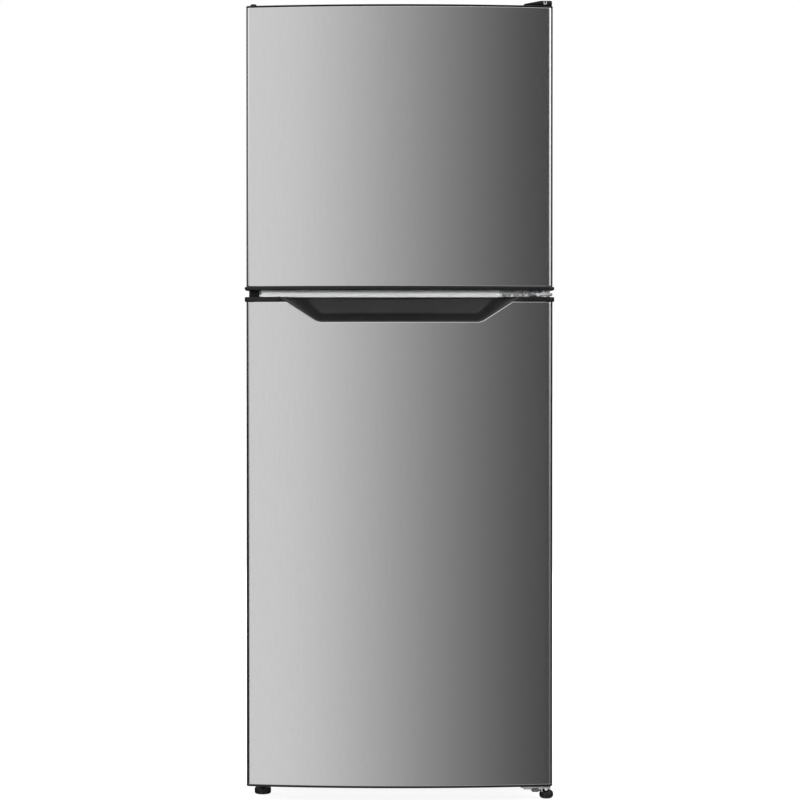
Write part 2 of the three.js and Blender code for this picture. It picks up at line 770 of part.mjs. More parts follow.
function freezerDoorBottomCap() {
  return doorCap(FREEZER_DOOR.bottom, FREEZER_DOOR.skinBottom, -1, CAP_OVERHANG);
}

function doorFoam(door) {
  return doorSlab(
    SHEET + GAP, SKIN_STEP + SHEET + GAP, LINER_PLATE_FRONT - GAP,
    door.skinBottom + PLUG_DEPTH + GAP, door.skinTop - PLUG_DEPTH - GAP,
  );
}

const DYKE = { half: 212, wall: 14, back: -165 };

// The inner panel with the raised ring that the bins hang in; the ring is hollow towards the foam.
function doorLiner(door, dykeLow, dykeHigh) {
  const plateHalf = DOOR_HALF - SHEET - GAP;
  const plate = box(
    [-plateHalf, LINER_PLATE_FRONT, door.skinBottom + GAP],
    [plateHalf, DOOR_BACK, door.skinTop - GAP],
  );
  const ring = (inset, corner) => roundedRectangle(
    [-DYKE.half + inset, dykeLow + inset],
    [DYKE.half - inset, dykeHigh - inset],
    corner,
  );
  const raised = cut(
    prismY(ring(0, 16), LINER_PLATE_FRONT + 0.5, DYKE.back),
    prismY(ring(DYKE.wall, 8), LINER_PLATE_FRONT - 5, DYKE.back + 5),
  );
  const groove = cut(
    prismY(ring(PLASTIC, 14), LINER_PLATE_FRONT - 5, DYKE.back - PLASTIC),
    prismY(ring(DYKE.wall - PLASTIC, 10), LINER_PLATE_FRONT - 10, DYKE.back + 5),
  );
  return cut(joined(plate, raised), groove);
}

const GASKET = { half: 256, width: 14, edge: 13 };

function doorGasket(door) {
  const ring = (inset) => roundedRectangle(
    [-GASKET.half + inset, door.bottom + GASKET.edge + inset],
    [GASKET.half - inset, door.top - GASKET.edge - inset],
    6,
    2,
  );
  const back = CABINET_FRONT - GAP;
  return cut(prismY(ring(0), DOOR_BACK, back), prismY(ring(GASKET.width), DOOR_BACK - 5, back + 5));
}

const BIN = { half: DYKE.half - DYKE.wall - 1, corner: 14 };

// An open bin hung inside the door's raised ring.
function doorBin(low, high, depth) {
  const front = DOOR_BACK + GAP;
  const back = front + depth;
  const ring = (inset, corner) => roundedRectangle(
    [-BIN.half + inset, front + inset],
    [BIN.half - inset, back - inset],
    corner,
  );
  const outer = prismZ(ring(0, BIN.corner), low, high);
  const inner = prismZ(ring(MOULDED, BIN.corner - 2), low + MOULDED, high + 5);
  const finger = box([-400, back - 30, high - 14], [400, back - 16, high + 5]);
  return cut(outer, inner, finger);
}

// ---- Handle pocket in the top of the lower door ----
const POCKET = {
  frontTop: 220.3, frontBottom: 145.9, frontLow: 856.6,
  backTop: 167, backBottom: 138, backLow: 871.5,
  depth: 35, corner: 9, rim: 893.5,
};

// The half outline of the pocket at one depth: a trapezoid with rounded lower corners.
function pocketOutline(topHalf, bottomHalf, low, grow) {
  const slope = (topHalf - bottomHalf) / (POCKET.rim - low);
  const side = grow * Math.hypot(1, slope);
  const bottom = low - grow;
  const halfAt = (z) => bottomHalf + slope * (z - low) + side;
  const high = FRIDGE_DOOR.top + 8;
  const start = halfAt(bottom) - POCKET.corner;
  const steps = 4;
  const points = [];
  for (let step = 0; step <= steps; step += 1) {
    const share = step / steps;
    const lift = POCKET.corner * 0.9 * share * share;
    const flat = start * (1 - share) ** 2 + 2 * halfAt(bottom) * share * (1 - share);
    points.push([flat + halfAt(bottom + POCKET.corner * 0.9) * share * share, bottom + lift]);
  }
  points.push([halfAt(high), high]);
  return points;
}

function pocketSpace(grow) {
  const layers = [
    [FRONT - 2, POCKET.frontTop, POCKET.frontBottom, POCKET.frontLow],
    [FRONT, POCKET.frontTop, POCKET.frontBottom, POCKET.frontLow],
    [FRONT + POCKET.depth + grow, POCKET.backTop, POCKET.backBottom, POCKET.backLow],
  ];
  const points = [];
  for (const [y, topHalf, bottomHalf, low] of layers) {
    for (const [x, z] of pocketOutline(topHalf, bottomHalf, low, grow)) {
      points.push(new THREE.Vector3(x, y, z), new THREE.Vector3(-x, y, z));
    }
  }
  return new ConvexGeometry(points);
}

function handlePocket() {
  const within = doorSlab(0.4, 0.2, LINER_PLATE_FRONT - 1, 800, FRIDGE_DOOR.top);
  return cut(common(pocketSpace(MOULDED), within), pocketSpace(0));
}

const POCKET_CLEARANCE = MOULDED + GAP;

function fridgeDoorSkin() {
  return cut(doorSkin(FRIDGE_DOOR), pocketSpace(POCKET_CLEARANCE));
}

function fridgeDoorTopCap() {
  return cut(doorCap(FRIDGE_DOOR.skinTop, FRIDGE_DOOR.top, 1, CAP_OVERHANG), pocketSpace(POCKET_CLEARANCE));
}

function fridgeDoorFoam() {
  return cut(doorFoam(FRIDGE_DOOR), pocketSpace(POCKET_CLEARANCE));
}

// Fills the unused bore in the freezer door's top cap.
function hingeHolePlug() {
  const top = FREEZER_DOOR.top;
  const profile = [
    [0, top - 10], [3.8, top - 10], [3.8, top + GAP], [5.9, top + GAP],
    [5.9, top + 4.2], [4.7, top + 5.4], [0, top + 5.4],
  ];
  return turned(profile, PLUG_X, PIVOT_Y);
}

// ---- The assembly ----
place('left_side_panel', sidePanel(-1), CABINET_PAINT);
place('right_side_panel', sidePanel(1), CABINET_PAINT);
place('top_panel', topPanel(), CABINET_PAINT);
place('rear_panel', rearPanel(), GALVANISED);
place('base_tray', baseTray(), GALVANISED);
place('insulation_foam', cabinetFoam(), FOAM);
place('freezer_liner', freezerLiner(), LINER_PLASTIC);
place('fridge_liner', fridgeLiner(), LINER_PLASTIC);
place('mullion_trim', mullionTrim(), SILVER_TRIM);

place('top_hinge_bracket', topHingeBracket(), ZINC);
place('top_hinge_cover', topHingeCover(), BLACK_PLASTIC);
place('middle_hinge_bracket', middleHingeBracket(), ZINC);
place('bottom_hinge_bracket', bottomHingeBracket(), ZINC);
place('hinge_hole_cover', hingeHoleCover(), BLACK_PLASTIC);

place('front_left_foot', leftFoot(), BLACK_PLASTIC);
place('front_right_foot', rightFoot(), BLACK_PLASTIC);
for (const [name, side] of [['left', -1], ['right', 1]]) {
  place(`rear_${name}_roller`, roller(side), BLACK_PLASTIC);
  place(`rear_${name}_roller_bracket`, rollerBracket(side), GALVANISED);
}

place('compressor_plate', compressorPlate(), GALVANISED);
place('compressor', compressor(), COMPRESSOR_PAINT);
place('starter_relay_box', starterRelayBox(), BLACK_PLASTIC);
place('drain_pan', drainPan(), BLACK_PLASTIC);
place('suction_line', suctionLine(), COPPER);
place('discharge_line', dischargeLine(), COPPER);
place('power_cord_gland', cordGland(), BLACK_PLASTIC);

place('evaporator_cover', evaporatorCover(), LINER_PLASTIC);
place('evaporator', evaporator(), ALUMINIUM);
place('evaporator_fan', evaporatorFan(), BLACK_PLASTIC);
place('fan_motor', fanMotor(), GALVANISED);
place('freezer_knob', freezerKnob(), LINER_PLASTIC);
place('freezer_shelf', freezerShelf(), LINER_PLASTIC);

place('air_duct', airDuct(), LINER_PLASTIC);
place('control_housing', controlHousing(), LINER_PLASTIC);
place('thermostat_knob', thermostatKnob(), LINER_PLASTIC);
place('light_lens', lightLens(), CLEAR_PLASTIC);
for (const [name, bottom] of Object.entries(GLASS_SHELVES)) {
  place(name, glassShelf(bottom), SHELF_GLASS);
}
place('crisper_cover', crisperCover(), SHELF_GLASS);
place('crisper_drawer', crisperDrawer(), CLEAR_PLASTIC);

place('freezer_door_skin', doorSkin(FREEZER_DOOR), STAINLESS);
place('freezer_door_top_cap', doorCap(FREEZER_DOOR.skinTop, FREEZER_DOOR.top, 1, 0), BLACK_PLASTIC);
place('freezer_door_bottom_cap', freezerDoorBottomCap(), BLACK_PLASTIC);
place('freezer_door_foam', doorFoam(FREEZER_DOOR), FOAM);
place('freezer_door_liner', doorLiner(FREEZER_DOOR, 957, 1360), LINER_PLASTIC);
place('freezer_door_gasket', doorGasket(FREEZER_DOOR), GASKET_RUBBER);
place('freezer_door_upper_bin', doorBin(1190, 1262, 84), CLEAR_PLASTIC);
place('freezer_door_lower_bin', doorBin(982, 1058, 84), CLEAR_PLASTIC);
place('hinge_hole_plug', hingeHolePlug(), BLACK_PLASTIC);

place('fridge_door_skin', fridgeDoorSkin(), STAINLESS);
place('fridge_door_top_cap', fridgeDoorTopCap(), BLACK_PLASTIC);
place('fridge_door_bottom_cap', doorCap(FRIDGE_DOOR.bottom, FRIDGE_DOOR.skinBottom, -1, 0), BLACK_PLASTIC);
place('handle_pocket', handlePocket(), BLACK_PLASTIC);
place('fridge_door_foam', fridgeDoorFoam(), FOAM);
place('fridge_door_liner', doorLiner(FRIDGE_DOOR, 112, 858), LINER_PLASTIC);
place('fridge_door_gasket', doorGasket(FRIDGE_DOOR), GASKET_RUBBER);
place('fridge_door_upper_bin', doorBin(660, 732, 96), CLEAR_PLASTIC);
place('fridge_door_middle_bin', doorBin(420, 496, 96), CLEAR_PLASTIC);
place('fridge_door_bottle_bin', doorBin(136, 256, 99), CLEAR_PLASTIC);

export default refrigerator;
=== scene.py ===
"""Looks of the top freezer refrigerator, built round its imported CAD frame.

Meshes are worked out in millimetres, +Z up and -Y towards the user, and stored in metres.
"""
import math
import bmesh
import bpy
from mathutils import Matrix, Vector


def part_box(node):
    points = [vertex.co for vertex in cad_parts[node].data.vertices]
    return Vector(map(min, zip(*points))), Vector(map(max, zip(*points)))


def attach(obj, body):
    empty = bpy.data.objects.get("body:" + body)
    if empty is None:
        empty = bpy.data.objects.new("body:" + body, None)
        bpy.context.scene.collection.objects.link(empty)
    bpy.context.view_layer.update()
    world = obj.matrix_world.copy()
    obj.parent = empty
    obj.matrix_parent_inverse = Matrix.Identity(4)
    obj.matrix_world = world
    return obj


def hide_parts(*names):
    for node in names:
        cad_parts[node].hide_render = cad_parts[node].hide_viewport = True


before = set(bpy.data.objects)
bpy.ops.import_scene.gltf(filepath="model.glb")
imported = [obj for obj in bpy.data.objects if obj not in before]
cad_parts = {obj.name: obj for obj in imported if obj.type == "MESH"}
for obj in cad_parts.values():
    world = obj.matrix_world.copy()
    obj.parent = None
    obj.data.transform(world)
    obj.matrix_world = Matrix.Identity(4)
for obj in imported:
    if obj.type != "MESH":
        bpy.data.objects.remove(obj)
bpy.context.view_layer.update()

MM = 0.001
SCENE = bpy.context.scene


# ---------------------------------------------------------------- sizes from the frame
def corners(node):
    """Lowest and highest corner of a CAD node, in millimetres."""
    low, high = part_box(node)
    return low / MM, high / MM


def middle_of(node):
    """The middle of a CAD node's box, in millimetres."""
    return [(first + last) / 2 for first, last in zip(*corners(node))]


SKIN_LOW, SKIN_HIGH = corners("freezer_door_skin")
FRIDGE_SKIN_LOW, FRIDGE_SKIN_HIGH = corners("fridge_door_skin")
HALF = SKIN_HIGH.x
DOOR_FRONT = SKIN_LOW.y
DOOR_BACK = SKIN_HIGH.y
DOOR_TOP = corners("freezer_door_top_cap")[1].z
CAP_TOP = corners("fridge_door_top_cap")[1].z
CABINET_FRONT = corners("right_side_panel")[0].y
# The steel fronts' crown and edge radius, and the line that both doors turn on.
CROWN = 22.0
DOOR_CORNER = 8.0
PIVOT = (259, -233)
PIN_RADIUS = 4.1
FAN_HEIGHT = 1262


# ---------------------------------------------------------------- mesh helpers
def directions(sides):
    """Pairs (cosine, sine) once round a circle."""
    angles = [2 * math.pi * side / sides for side in range(sides)]
    return [(math.cos(angle), math.sin(angle)) for angle in angles]


def quadrant(steps):
    """Pairs (sine, cosine) from 0 to 90 degrees."""
    angles = [step / steps * math.pi / 2 for step in range(steps + 1)]
    return [(math.sin(angle), math.cos(angle)) for angle in angles]


def spaced(first, last, count):
    """Evenly spaced places, with both ends."""
    return [first + (last - first) * step / (count - 1) for step in range(count)]


def finish_object(name, mesh, look, node=None, body="cabinet", angle=32.0):
    """Makes an object of a mesh on its body, with its look, in place of a CAD node if one is named."""
    piece = bpy.data.objects.new(name, mesh)
    SCENE.collection.objects.link(piece)
    mesh.materials.clear()
    mesh.materials.append(look.material)
    if angle is not None:
        mesh.shade_smooth()
        mesh.set_sharp_from_angle(angle=math.radians(angle))
    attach(piece, body)
    if node:
        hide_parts(node)
    return piece


def build(name, parts, look, node=None, body="cabinet", angle=32.0):
    """One object of one or more (vertices, faces) parts given in millimetres."""
    vertices = []
    faces = []
    for part_vertices, part_faces in parts:
        start = len(vertices)
        vertices += [tuple(value * MM for value in point) for point in part_vertices]
        faces += [tuple(start + index for index in face) for face in part_faces]
    mesh = bpy.data.meshes.new(name)
    mesh.from_pydata(vertices, [], faces)
    shape = bmesh.new()
    shape.from_mesh(mesh)
    bmesh.ops.remove_doubles(shape, verts=shape.verts, dist=1e-6)
    bmesh.ops.recalc_face_normals(shape, faces=shape.faces)
    shape.to_mesh(mesh)
    shape.free()
    return finish_object(name, mesh, look, node, body, angle)


def loft(rings, cap_first=True, cap_last=True, ring_closed=True, loop=False):
    """Skins equal rings of points in order; loop joins the last ring to the first."""
    count = len(rings[0])
    vertices = [tuple(point) for ring in rings for point in ring]
    faces = []
    bands = len(rings) if loop else len(rings) - 1
    for band in range(bands):
        low = band * count
        high = ((band + 1) % len(rings)) * count
        for index in range(count if ring_closed else count - 1):
            after = (index + 1) % count
            faces.append((low + index, low + after, high + after, high + index))
    if not loop and cap_first:
        faces.append(tuple(reversed(range(count))))
    if not loop and cap_last:
        faces.append(tuple(range((len(rings) - 1) * count, len(rings) * count)))
    return vertices, faces


def rounded_rectangle(low, high, radius, steps=5):
    """Corner points of a rectangle in two axes with round corners, anticlockwise."""
    radius = max(radius, 0.05)
    centres = [
        (high[0] - radius, high[1] - radius),
        (low[0] + radius, high[1] - radius),
        (low[0] + radius, low[1] + radius),
        (high[0] - radius, low[1] + radius),
    ]
    points = []
    for corner, (x, y) in enumerate(centres):
        for step in range(steps + 1):
            angle = (corner + step / steps) * math.pi / 2
            points.append((x + radius * math.cos(angle), y + radius * math.sin(angle)))
    return points


def upright_ring(y, low, high, radius, steps=6):
    """A rounded rectangle that stands across the object at y; low and high are (x, z)."""
    return [(x, y, z) for x, z in rounded_rectangle(low, high, radius, steps)]


def quarter(radius, steps=4):
    """Pairs (in, up) along a quarter round: from radius in at height 0 to 0 in at radius up."""
    return [(radius * (1 - sine), radius * (1 - cosine)) for sine, cosine in quadrant(steps)]


def offset_outline(outline, inset):
    """Moves each point of an anticlockwise outline inwards along its mitred normal."""
    count = len(outline)
    moved = []
    for index, (x, y) in enumerate(outline):
        before = outline[index - 1]
        after = outline[(index + 1) % count]
        first = Vector((x - before[0], y - before[1])).normalized()
        second = Vector((after[0] - x, after[1] - y)).normalized()
        normal = Vector((-first.y - second.y, first.x + second.x))
        normal.normalize()
        share = max(0.5, normal.dot(Vector((-first.y, first.x))))
        moved.append((x + normal.x * inset / share, y + normal.y * inset / share))
    return moved


def slab(outline, low, high, radius, steps=3):
    """A flat-topped prism along Z with its upper and lower edges rounded."""
    rings = []
    for inset, up in quarter(radius, steps):
        rings.append([(x, y, low + up) for x, y in offset_outline(outline, inset)])
    for inset, up in reversed(quarter(radius, steps)):
        rings.append([(x, y, high - up) for x, y in offset_outline(outline, inset)])
    return loft(rings)


def block(low, high, radius=0.8, steps=2):
    """A box with every edge rounded."""
    outline = rounded_rectangle(low[:2], high[:2], radius, steps)
    return slab(outline, low[2], high[2], min(radius, (high[2] - low[2]) / 2.2), steps)


def lathe(profile, centre, axis="z", sides=40):
    """A turned solid: profile is (radius, place along the axis) pairs from one end to the other."""
    rings = []
    for radius, along in profile:
        reach = max(radius, 0.01)
        rings.append([(reach * cosine, reach * sine, along) for cosine, sine in directions(sides)])
    vertices, faces = loft(rings)
    if axis == "z":
        return [(centre[0] + x, centre[1] + y, z) for x, y, z in vertices], faces
    return [(centre[0] + x, z, centre[1] + y) for x, y, z in vertices], faces


def smooth_path(points, steps=10):
    """A Catmull-Rom curve through the points, as a list of vectors."""
    route = [Vector(point) for point in points]
    route = [2 * route[0] - route[1], *route, 2 * route[-1] - route[-2]]
    curve = []
    for index in range(1, len(route) - 2):
        a, b, c, d = route[index - 1:index + 3]
        for step in range(steps):
            t = step / steps
            curve.append(0.5 * (2 * b + (c - a) * t + (2 * a - 5 * b + 4 * c - d) * t * t
                                + (3 * b - 3 * c + d - a) * t ** 3))
    curve.append(route[-2])
    return curve


def tube(path, radius, sides=10):
    """A round tube along a list of points, with closed ends."""
    points = [Vector(point) for point in path]
    normal = None
    rings = []
    for index, point in enumerate(points):
        ahead = points[min(index + 1, len(points) - 1)]
        behind = points[max(index - 1, 0)]
        direction = (ahead - behind).normalized()
        if normal is None:
            helper = Vector((0, 0, 1)) if abs(direction.z) < 0.9 else Vector((1, 0, 0))
            normal = direction.cross(helper).normalized()
        normal = (normal - direction * normal.dot(direction)).normalized()
        side_way = direction.cross(normal)
        rings.append([point + (normal * cosine + side_way * sine) * radius
                      for cosine, sine in directions(sides)])
    return loft(rings)


def refine(node, look, width=0.6, segments=2, body="cabinet"):
    """A copy of a CAD node with its facets merged and its sharp edges rounded, in its place."""
    sharp = math.radians(30)
    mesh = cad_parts[node].data.copy()
    mesh.name = node + "_formed"
    shape = bmesh.new()
    shape.from_mesh(mesh)
    bmesh.ops.remove_doubles(shape, verts=shape.verts, dist=2e-6)
    bmesh.ops.dissolve_limit(shape, angle_limit=math.radians(0.8), verts=shape.verts, edges=shape.edges)
    for face in shape.faces:
        angles = [edge.calc_face_angle(0) for edge in face.edges if len(edge.link_faces) == 2]
        face.smooth = any(math.radians(1) < angle < sharp for angle in angles)
    edges = [e for e in shape.edges if len(e.link_faces) == 2 and e.calc_face_angle(0) > sharp]
    made = bmesh.ops.bevel(shape, geom=edges, offset=width * MM, segments=segments, profile=0.5,
                           affect="EDGES", clamp_overlap=True)
    for face in made["faces"]:
        face.smooth = True
    shape.to_mesh(mesh)
    shape.free()
    for name in [layer.name for layer in mesh.uv_layers]:
        mesh.uv_layers.remove(mesh.uv_layers[name])
    mesh.set_sharp_from_angle(angle=math.radians(50))
    return finish_object(node + "_formed", mesh, look, node, body, angle=None)


def thicken(piece, thickness):
    """Gives an open sheet its thickness, on the side away from its outward faces."""
    modifier = piece.modifiers.new("sheet", "SOLIDIFY")
    modifier.thickness = thickness * MM
    modifier.offset = -1
    bpy.context.view_layer.update()
    graph = bpy.context.evaluated_depsgraph_get()
    made = bpy.data.meshes.new_from_object(piece.evaluated_get(graph))
    piece.modifiers.clear()
    old = piece.data
    piece.data = made
    bpy.data.meshes.remove(old)


# ---------------------------------------------------------------- materials
class Look:
    """A Principled material whose patterns are made in the object's own space, and its record slot."""

    def __init__(self, name, slot, colour, roughness, metallic=0.0, **sockets):
        self.material = bpy.data.materials.new(name)
        self.material.use_nodes = True
        self.tree = self.material.node_tree
        self.shader = self.tree.nodes["Principled BSDF"]
        self.slot = slot
        self.colour = colour
        self.roughness = roughness
        self.shader.inputs["Base Color"].default_value = (*colour, 1)
        self.shader.inputs["Roughness"].default_value = roughness
        self.shader.inputs["Metallic"].default_value = metallic
        for key, value in sockets.items():
            self.shader.inputs[key.replace("_", " ")].default_value = value
        self.place = self.node("ShaderNodeTexCoord").outputs["Object"]

    def node(self, kind, **values):
        made = self.tree.nodes.new(kind)
        for key, value in values.items():
            setattr(made, key, value)
        return made

    def link(self, out, into):
        self.tree.links.new(out, into)

    def pattern(self, kind, scale):
        """A texture node in the object's space, scaled by a Mapping node before it."""
        mapping = self.node("ShaderNodeMapping")
        mapping.inputs["Scale"].default_value = scale
        self.link(self.place, mapping.inputs["Vector"])
        texture = self.node(kind)
        texture.inputs["Scale"].default_value = 1.0
        self.link(mapping.outputs["Vector"], texture.inputs["Vector"])
        return texture

    def noise(self, size, detail=3.0, stretch=(1, 1, 1)):
        """Noise of about this grain size in millimetres; stretch lengthens it along an axis."""
        texture = self.pattern("ShaderNodeTexNoise", [1 / (size * MM * factor) for factor in stretch])
        texture.inputs["Detail"].default_value = detail
        texture.inputs["Roughness"].default_value = 0.55
        return texture.outputs["Fac"]

    def cells(self, size):
        """Cells of about this size in millimetres."""
        return self.pattern("ShaderNodeTexVoronoi", [1 / (size * MM)] * 3)

    def spread(self, fac, low, high):
        """Maps a pattern's middle range onto a range of numbers."""
        ranged = self.node("ShaderNodeMapRange")
        for key, value in (("From Min", 0.3), ("From Max", 0.7), ("To Min", low), ("To Max", high)):
            ranged.inputs[key].default_value = value
        self.link(fac, ranged.inputs["Value"])
        return ranged.outputs["Result"]

    def tint(self, fac, amount, second=None):
        """Varies the base colour by a pattern, towards a second colour or up and down in value."""
        darker = tuple(max(0.0, c * (1 - amount)) for c in self.colour)
        lighter = tuple(min(1.0, c * (1 + amount)) for c in self.colour)
        mix = self.node("ShaderNodeMix", data_type="RGBA")
        mix.inputs["A"].default_value = (*darker, 1)
        mix.inputs["B"].default_value = (*(second or lighter), 1)
        self.link(self.spread(fac, 0.0, 1.0), mix.inputs["Factor"])
        self.link(mix.outputs["Result"], self.shader.inputs["Base Color"])

    def rough(self, fac, amount):
        """Varies the roughness by a pattern."""
        out = self.spread(fac, self.roughness - amount, self.roughness + amount)
        self.link(out, self.shader.inputs["Roughness"])

    def bump(self, fac, depth, strength=1.0):
        """Raises the surface by a pattern; depth is in millimetres."""
        raised = self.node("ShaderNodeBump")
        raised.inputs["Strength"].default_value = strength
        raised.inputs["Distance"].default_value = depth * MM
        self.link(fac, raised.inputs["Height"])
        self.link(raised.outputs["Normal"], self.shader.inputs["Normal"])


def grained(look, tint, rough=None, bump=None, second=None):
    """Gives a look its noise: (grain size, detail, then amount, or depth and strength) for each effect."""
    look.tint(look.noise(*tint[:2]), tint[2], second)
    if rough:
        look.rough(look.noise(*rough[:2]), rough[2])
    if bump:
        look.bump(look.noise(*bump[:2]), *bump[2:])
    return look


def stainless():
    """Steel brushed along its height."""
    look = Look("brushed_stainless", "stainless_steel", (0.60, 0.60, 0.60), 0.20, 1.0)
    hairline = look.noise(0.3, 3.0, (1, 1, 60))
    look.tint(look.noise(2.2, 4.0, (1, 1, 9)), 0.018)
    look.rough(hairline, 0.03)
    look.bump(hairline, 0.002, 0.2)
    return look


def galvanised():
    """Zinc-coated sheet with faint spangle."""
    look = Look("galvanised_sheet", "galvanised_sheet", (0.60, 0.615, 0.625), 0.44, 0.75)
    spangle = look.cells(14)
    look.tint(spangle.outputs["Color"], 0.055)
    look.rough(spangle.outputs["Color"], 0.04)
    look.bump(look.noise(3, 4.0), 0.03, 0.3)
    return look


def foam():
    """Yellow insulating foam, hidden behind the sheets and liners."""
    look = Look("polyurethane_foam", None, (0.72, 0.60, 0.33), 0.92)
    look.tint(look.noise(20, 6.0), 0.15)
    look.bump(look.cells(1.4).outputs["Distance"], 0.4, 0.8)
    return look


def wire_sleeve(name, colour):
    """A wire's coloured sleeve."""
    look = Look(name, "black_plastic", colour, 0.5)
    return grained(look, (4, 3.0, 0.08), (2, 3.0, 0.05), (0.5, 2.0, 0.02, 0.3))


STAINLESS = stainless()
BLACK = grained(
    Look("black_plastic", "black_plastic", (0.007, 0.007, 0.0075), 0.36, Specular_IOR_Level=0.27),
    (18, 3.0, 0.2), (6, 4.0, 0.05), (0.5, 3.0, 0.03, 0.4))
POCKET_BLACK = grained(
    Look("pocket_plastic", "black_plastic", (0.015, 0.015, 0.016), 0.44),
    (25, 3.0, 0.15), (8, 4.0, 0.05), (0.6, 3.0, 0.03, 0.4))
PAINT = grained(
    Look("cabinet_paint", "cabinet_paint", (0.30, 0.31, 0.32), 0.42, 0.25,
         Coat_Weight=0.25, Coat_Roughness=0.25),
    (140, 3.0, 0.035), (30, 4.0, 0.04), (2.2, 2.0, 0.05, 0.30))
SILVER = grained(
    Look("silver_trim", "silver_trim", (0.90, 0.905, 0.91), 0.32, 0.1),
    (40, 3.0, 0.03), (12, 4.0, 0.04), (12, 2.0, 0.02, 0.1))
ZINC = grained(
    Look("zinc_plate", "zinc_plate", (0.74, 0.75, 0.77), 0.26, 0.75),
    (9, 5.0, 0.10), (4, 4.0, 0.08), (0.9, 4.0, 0.02, 0.4))
# A copy of the zinc plate for the bottom hinge that is rougher, less metallic and darker in colour: the
# darker colour is painted shade for the bracket low down by the floor.
SHADED_ZINC = grained(
    Look("shaded_zinc", "zinc_plate", (0.42, 0.43, 0.44), 0.36, 0.5),
    (7, 5.0, 0.10), (4, 4.0, 0.06), (0.9, 4.0, 0.02, 0.4))
GALVANISED = galvanised()
FOAM = foam()
LINER = grained(
    Look("liner_plastic", "liner_plastic", (0.64, 0.655, 0.66), 0.30, Coat_Weight=0.15, Coat_Roughness=0.2),
    (140, 2.0, 0.015), bump=(9, 1.0, 0.02, 0.12))
WHITE = grained(
    Look("moulded_white_plastic", "liner_plastic", (0.66, 0.67, 0.675), 0.38),
    (35, 3.0, 0.025), (9, 4.0, 0.05), (0.7, 3.0, 0.03, 0.35))
GASKET = grained(
    Look("gasket_rubber", "gasket_rubber", (0.34, 0.35, 0.36), 0.62),
    (22, 4.0, 0.08), (5, 4.0, 0.06), (0.8, 3.0, 0.04, 0.4))
RUBBER = grained(
    Look("black_rubber", "black_plastic", (0.018, 0.018, 0.018), 0.68),
    (8, 4.0, 0.25), (3, 4.0, 0.07), (0.6, 3.0, 0.05, 0.5))
SLEEVE = grained(
    Look("grey_sleeve", "black_plastic", (0.075, 0.075, 0.077), 0.55),
    (8, 4.0, 0.15), (3, 4.0, 0.05), (0.6, 3.0, 0.04, 0.4))
CLEAR = grained(
    Look("clear_plastic", "clear_plastic", (0.76, 0.785, 0.79), 0.12, Alpha=0.24, IOR=1.49),
    (50, 2.0, 0.03), (10, 4.0, 0.04), (4, 2.0, 0.03, 0.2))
GLASS = grained(
    Look("shelf_glass", "shelf_glass", (0.70, 0.84, 0.80), 0.04, Alpha=0.30, IOR=1.52),
    (80, 2.0, 0.03), (14, 4.0, 0.02))
LENS = grained(
    Look("frosted_lens", "clear_plastic", (0.92, 0.93, 0.90), 0.35, Alpha=0.85),
    (12, 2.0, 0.02), bump=(0.8, 3.0, 0.05, 0.4))
ENAMEL = grained(
    Look("compressor_enamel", "compressor_paint", (0.012, 0.012, 0.013), 0.32,
         Coat_Weight=0.3, Coat_Roughness=0.15),
    (14, 4.0, 0.3), (7, 4.0, 0.08), (1.8, 3.0, 0.06, 0.35))
COPPER = grained(
    Look("copper_tube", "copper", (0.72, 0.34, 0.20), 0.28, 1.0),
    (11, 5.0, 0.18), (5, 4.0, 0.09), (1.2, 3.0, 0.02, 0.3), second=(0.52, 0.22, 0.12))
ALUMINIUM = grained(
    Look("aluminium_fins", "aluminium_fins", (0.78, 0.79, 0.80), 0.34, 1.0),
    (16, 4.0, 0.08), (5, 4.0, 0.07), (1.5, 3.0, 0.03, 0.3))
SCREW = grained(
    Look("screw_steel", "zinc_plate", (0.82, 0.82, 0.83), 0.24, 0.7),
    (2.0, 4.0, 0.12), (1.0, 4.0, 0.08), (0.3, 2.0, 0.01, 0.3))
WIRE_BLACK = wire_sleeve("black_wire", (0.02, 0.02, 0.02))
WIRE_BROWN = wire_sleeve("brown_wire", (0.16, 0.06, 0.03))
WIRE_BLUE = wire_sleeve("blue_wire", (0.03, 0.08, 0.28))


# ---------------------------------------------------------------- small hardware
def oriented(part, centre, direction):
    """Places a part made about +Z at the origin so that +Z points along direction."""
    vertices, faces = part
    spin = Vector((0, 0, 1)).rotation_difference(Vector(direction)).to_matrix()
    return [tuple(spin @ Vector(point) + Vector(centre)) for point in vertices], faces


def screw_head(centre, direction, radius=4.0, height=2.2):
    """A pan head with a cross recess, standing on centre and facing along direction."""
    rings = []
    recess = radius * 0.62
    levels = [(1.0, 0.0), (1.0, 0.35), (0.94, 0.7), (0.8, 0.9), (0.66, 0.97)]
    levels += [(share, 1.0) for share in (0.6, 0.5, 0.4, 0.3, 0.2, 0.12, 0.04)]
    for share, up in levels:
        ring = []
        for cosine, sine in directions(48):
            x = radius * share * cosine
            y = radius * share * sine
            arm = min(abs(x), abs(y)) < radius * 0.13
            sunk = 0.6 * height * (1 - math.hypot(x, y) / recess) if arm and math.hypot(x, y) < recess else 0
            ring.append((x, y, height * up - sunk))
        rings.append(ring)
    return oriented(loft(rings), centre, direction)


def hex_nut(centre, direction, across, height, bore):
    """A chamfered hexagon nut round a bore."""
    sides = 48
    corner = across / math.sqrt(3)
    around = directions(sides)
    hexagon = []
    for side in range(sides):
        angle = 2 * math.pi * side / sides
        hexagon.append((across / 2) / math.cos((angle % (math.pi / 3)) - math.pi / 6))
    chamfered = [min(reach, corner * 0.88) for reach in hexagon]
    inner = [bore] * sides
    rings = []
    for reaches, up in ((inner, 0.0), (hexagon, 0.0), (hexagon, 0.85), (chamfered, 1.0), (inner, 1.0)):
        rings.append([(reach * cosine, reach * sine, height * up)
                      for reach, (cosine, sine) in zip(reaches, around)])
    return oriented(loft(rings, loop=True), centre, direction)


# ---------------------------------------------------------------- doors
def crown_y(x):
    """How far forward the steel stands at a place across the door."""
    return DOOR_FRONT + CROWN * (x / HALF) ** 2


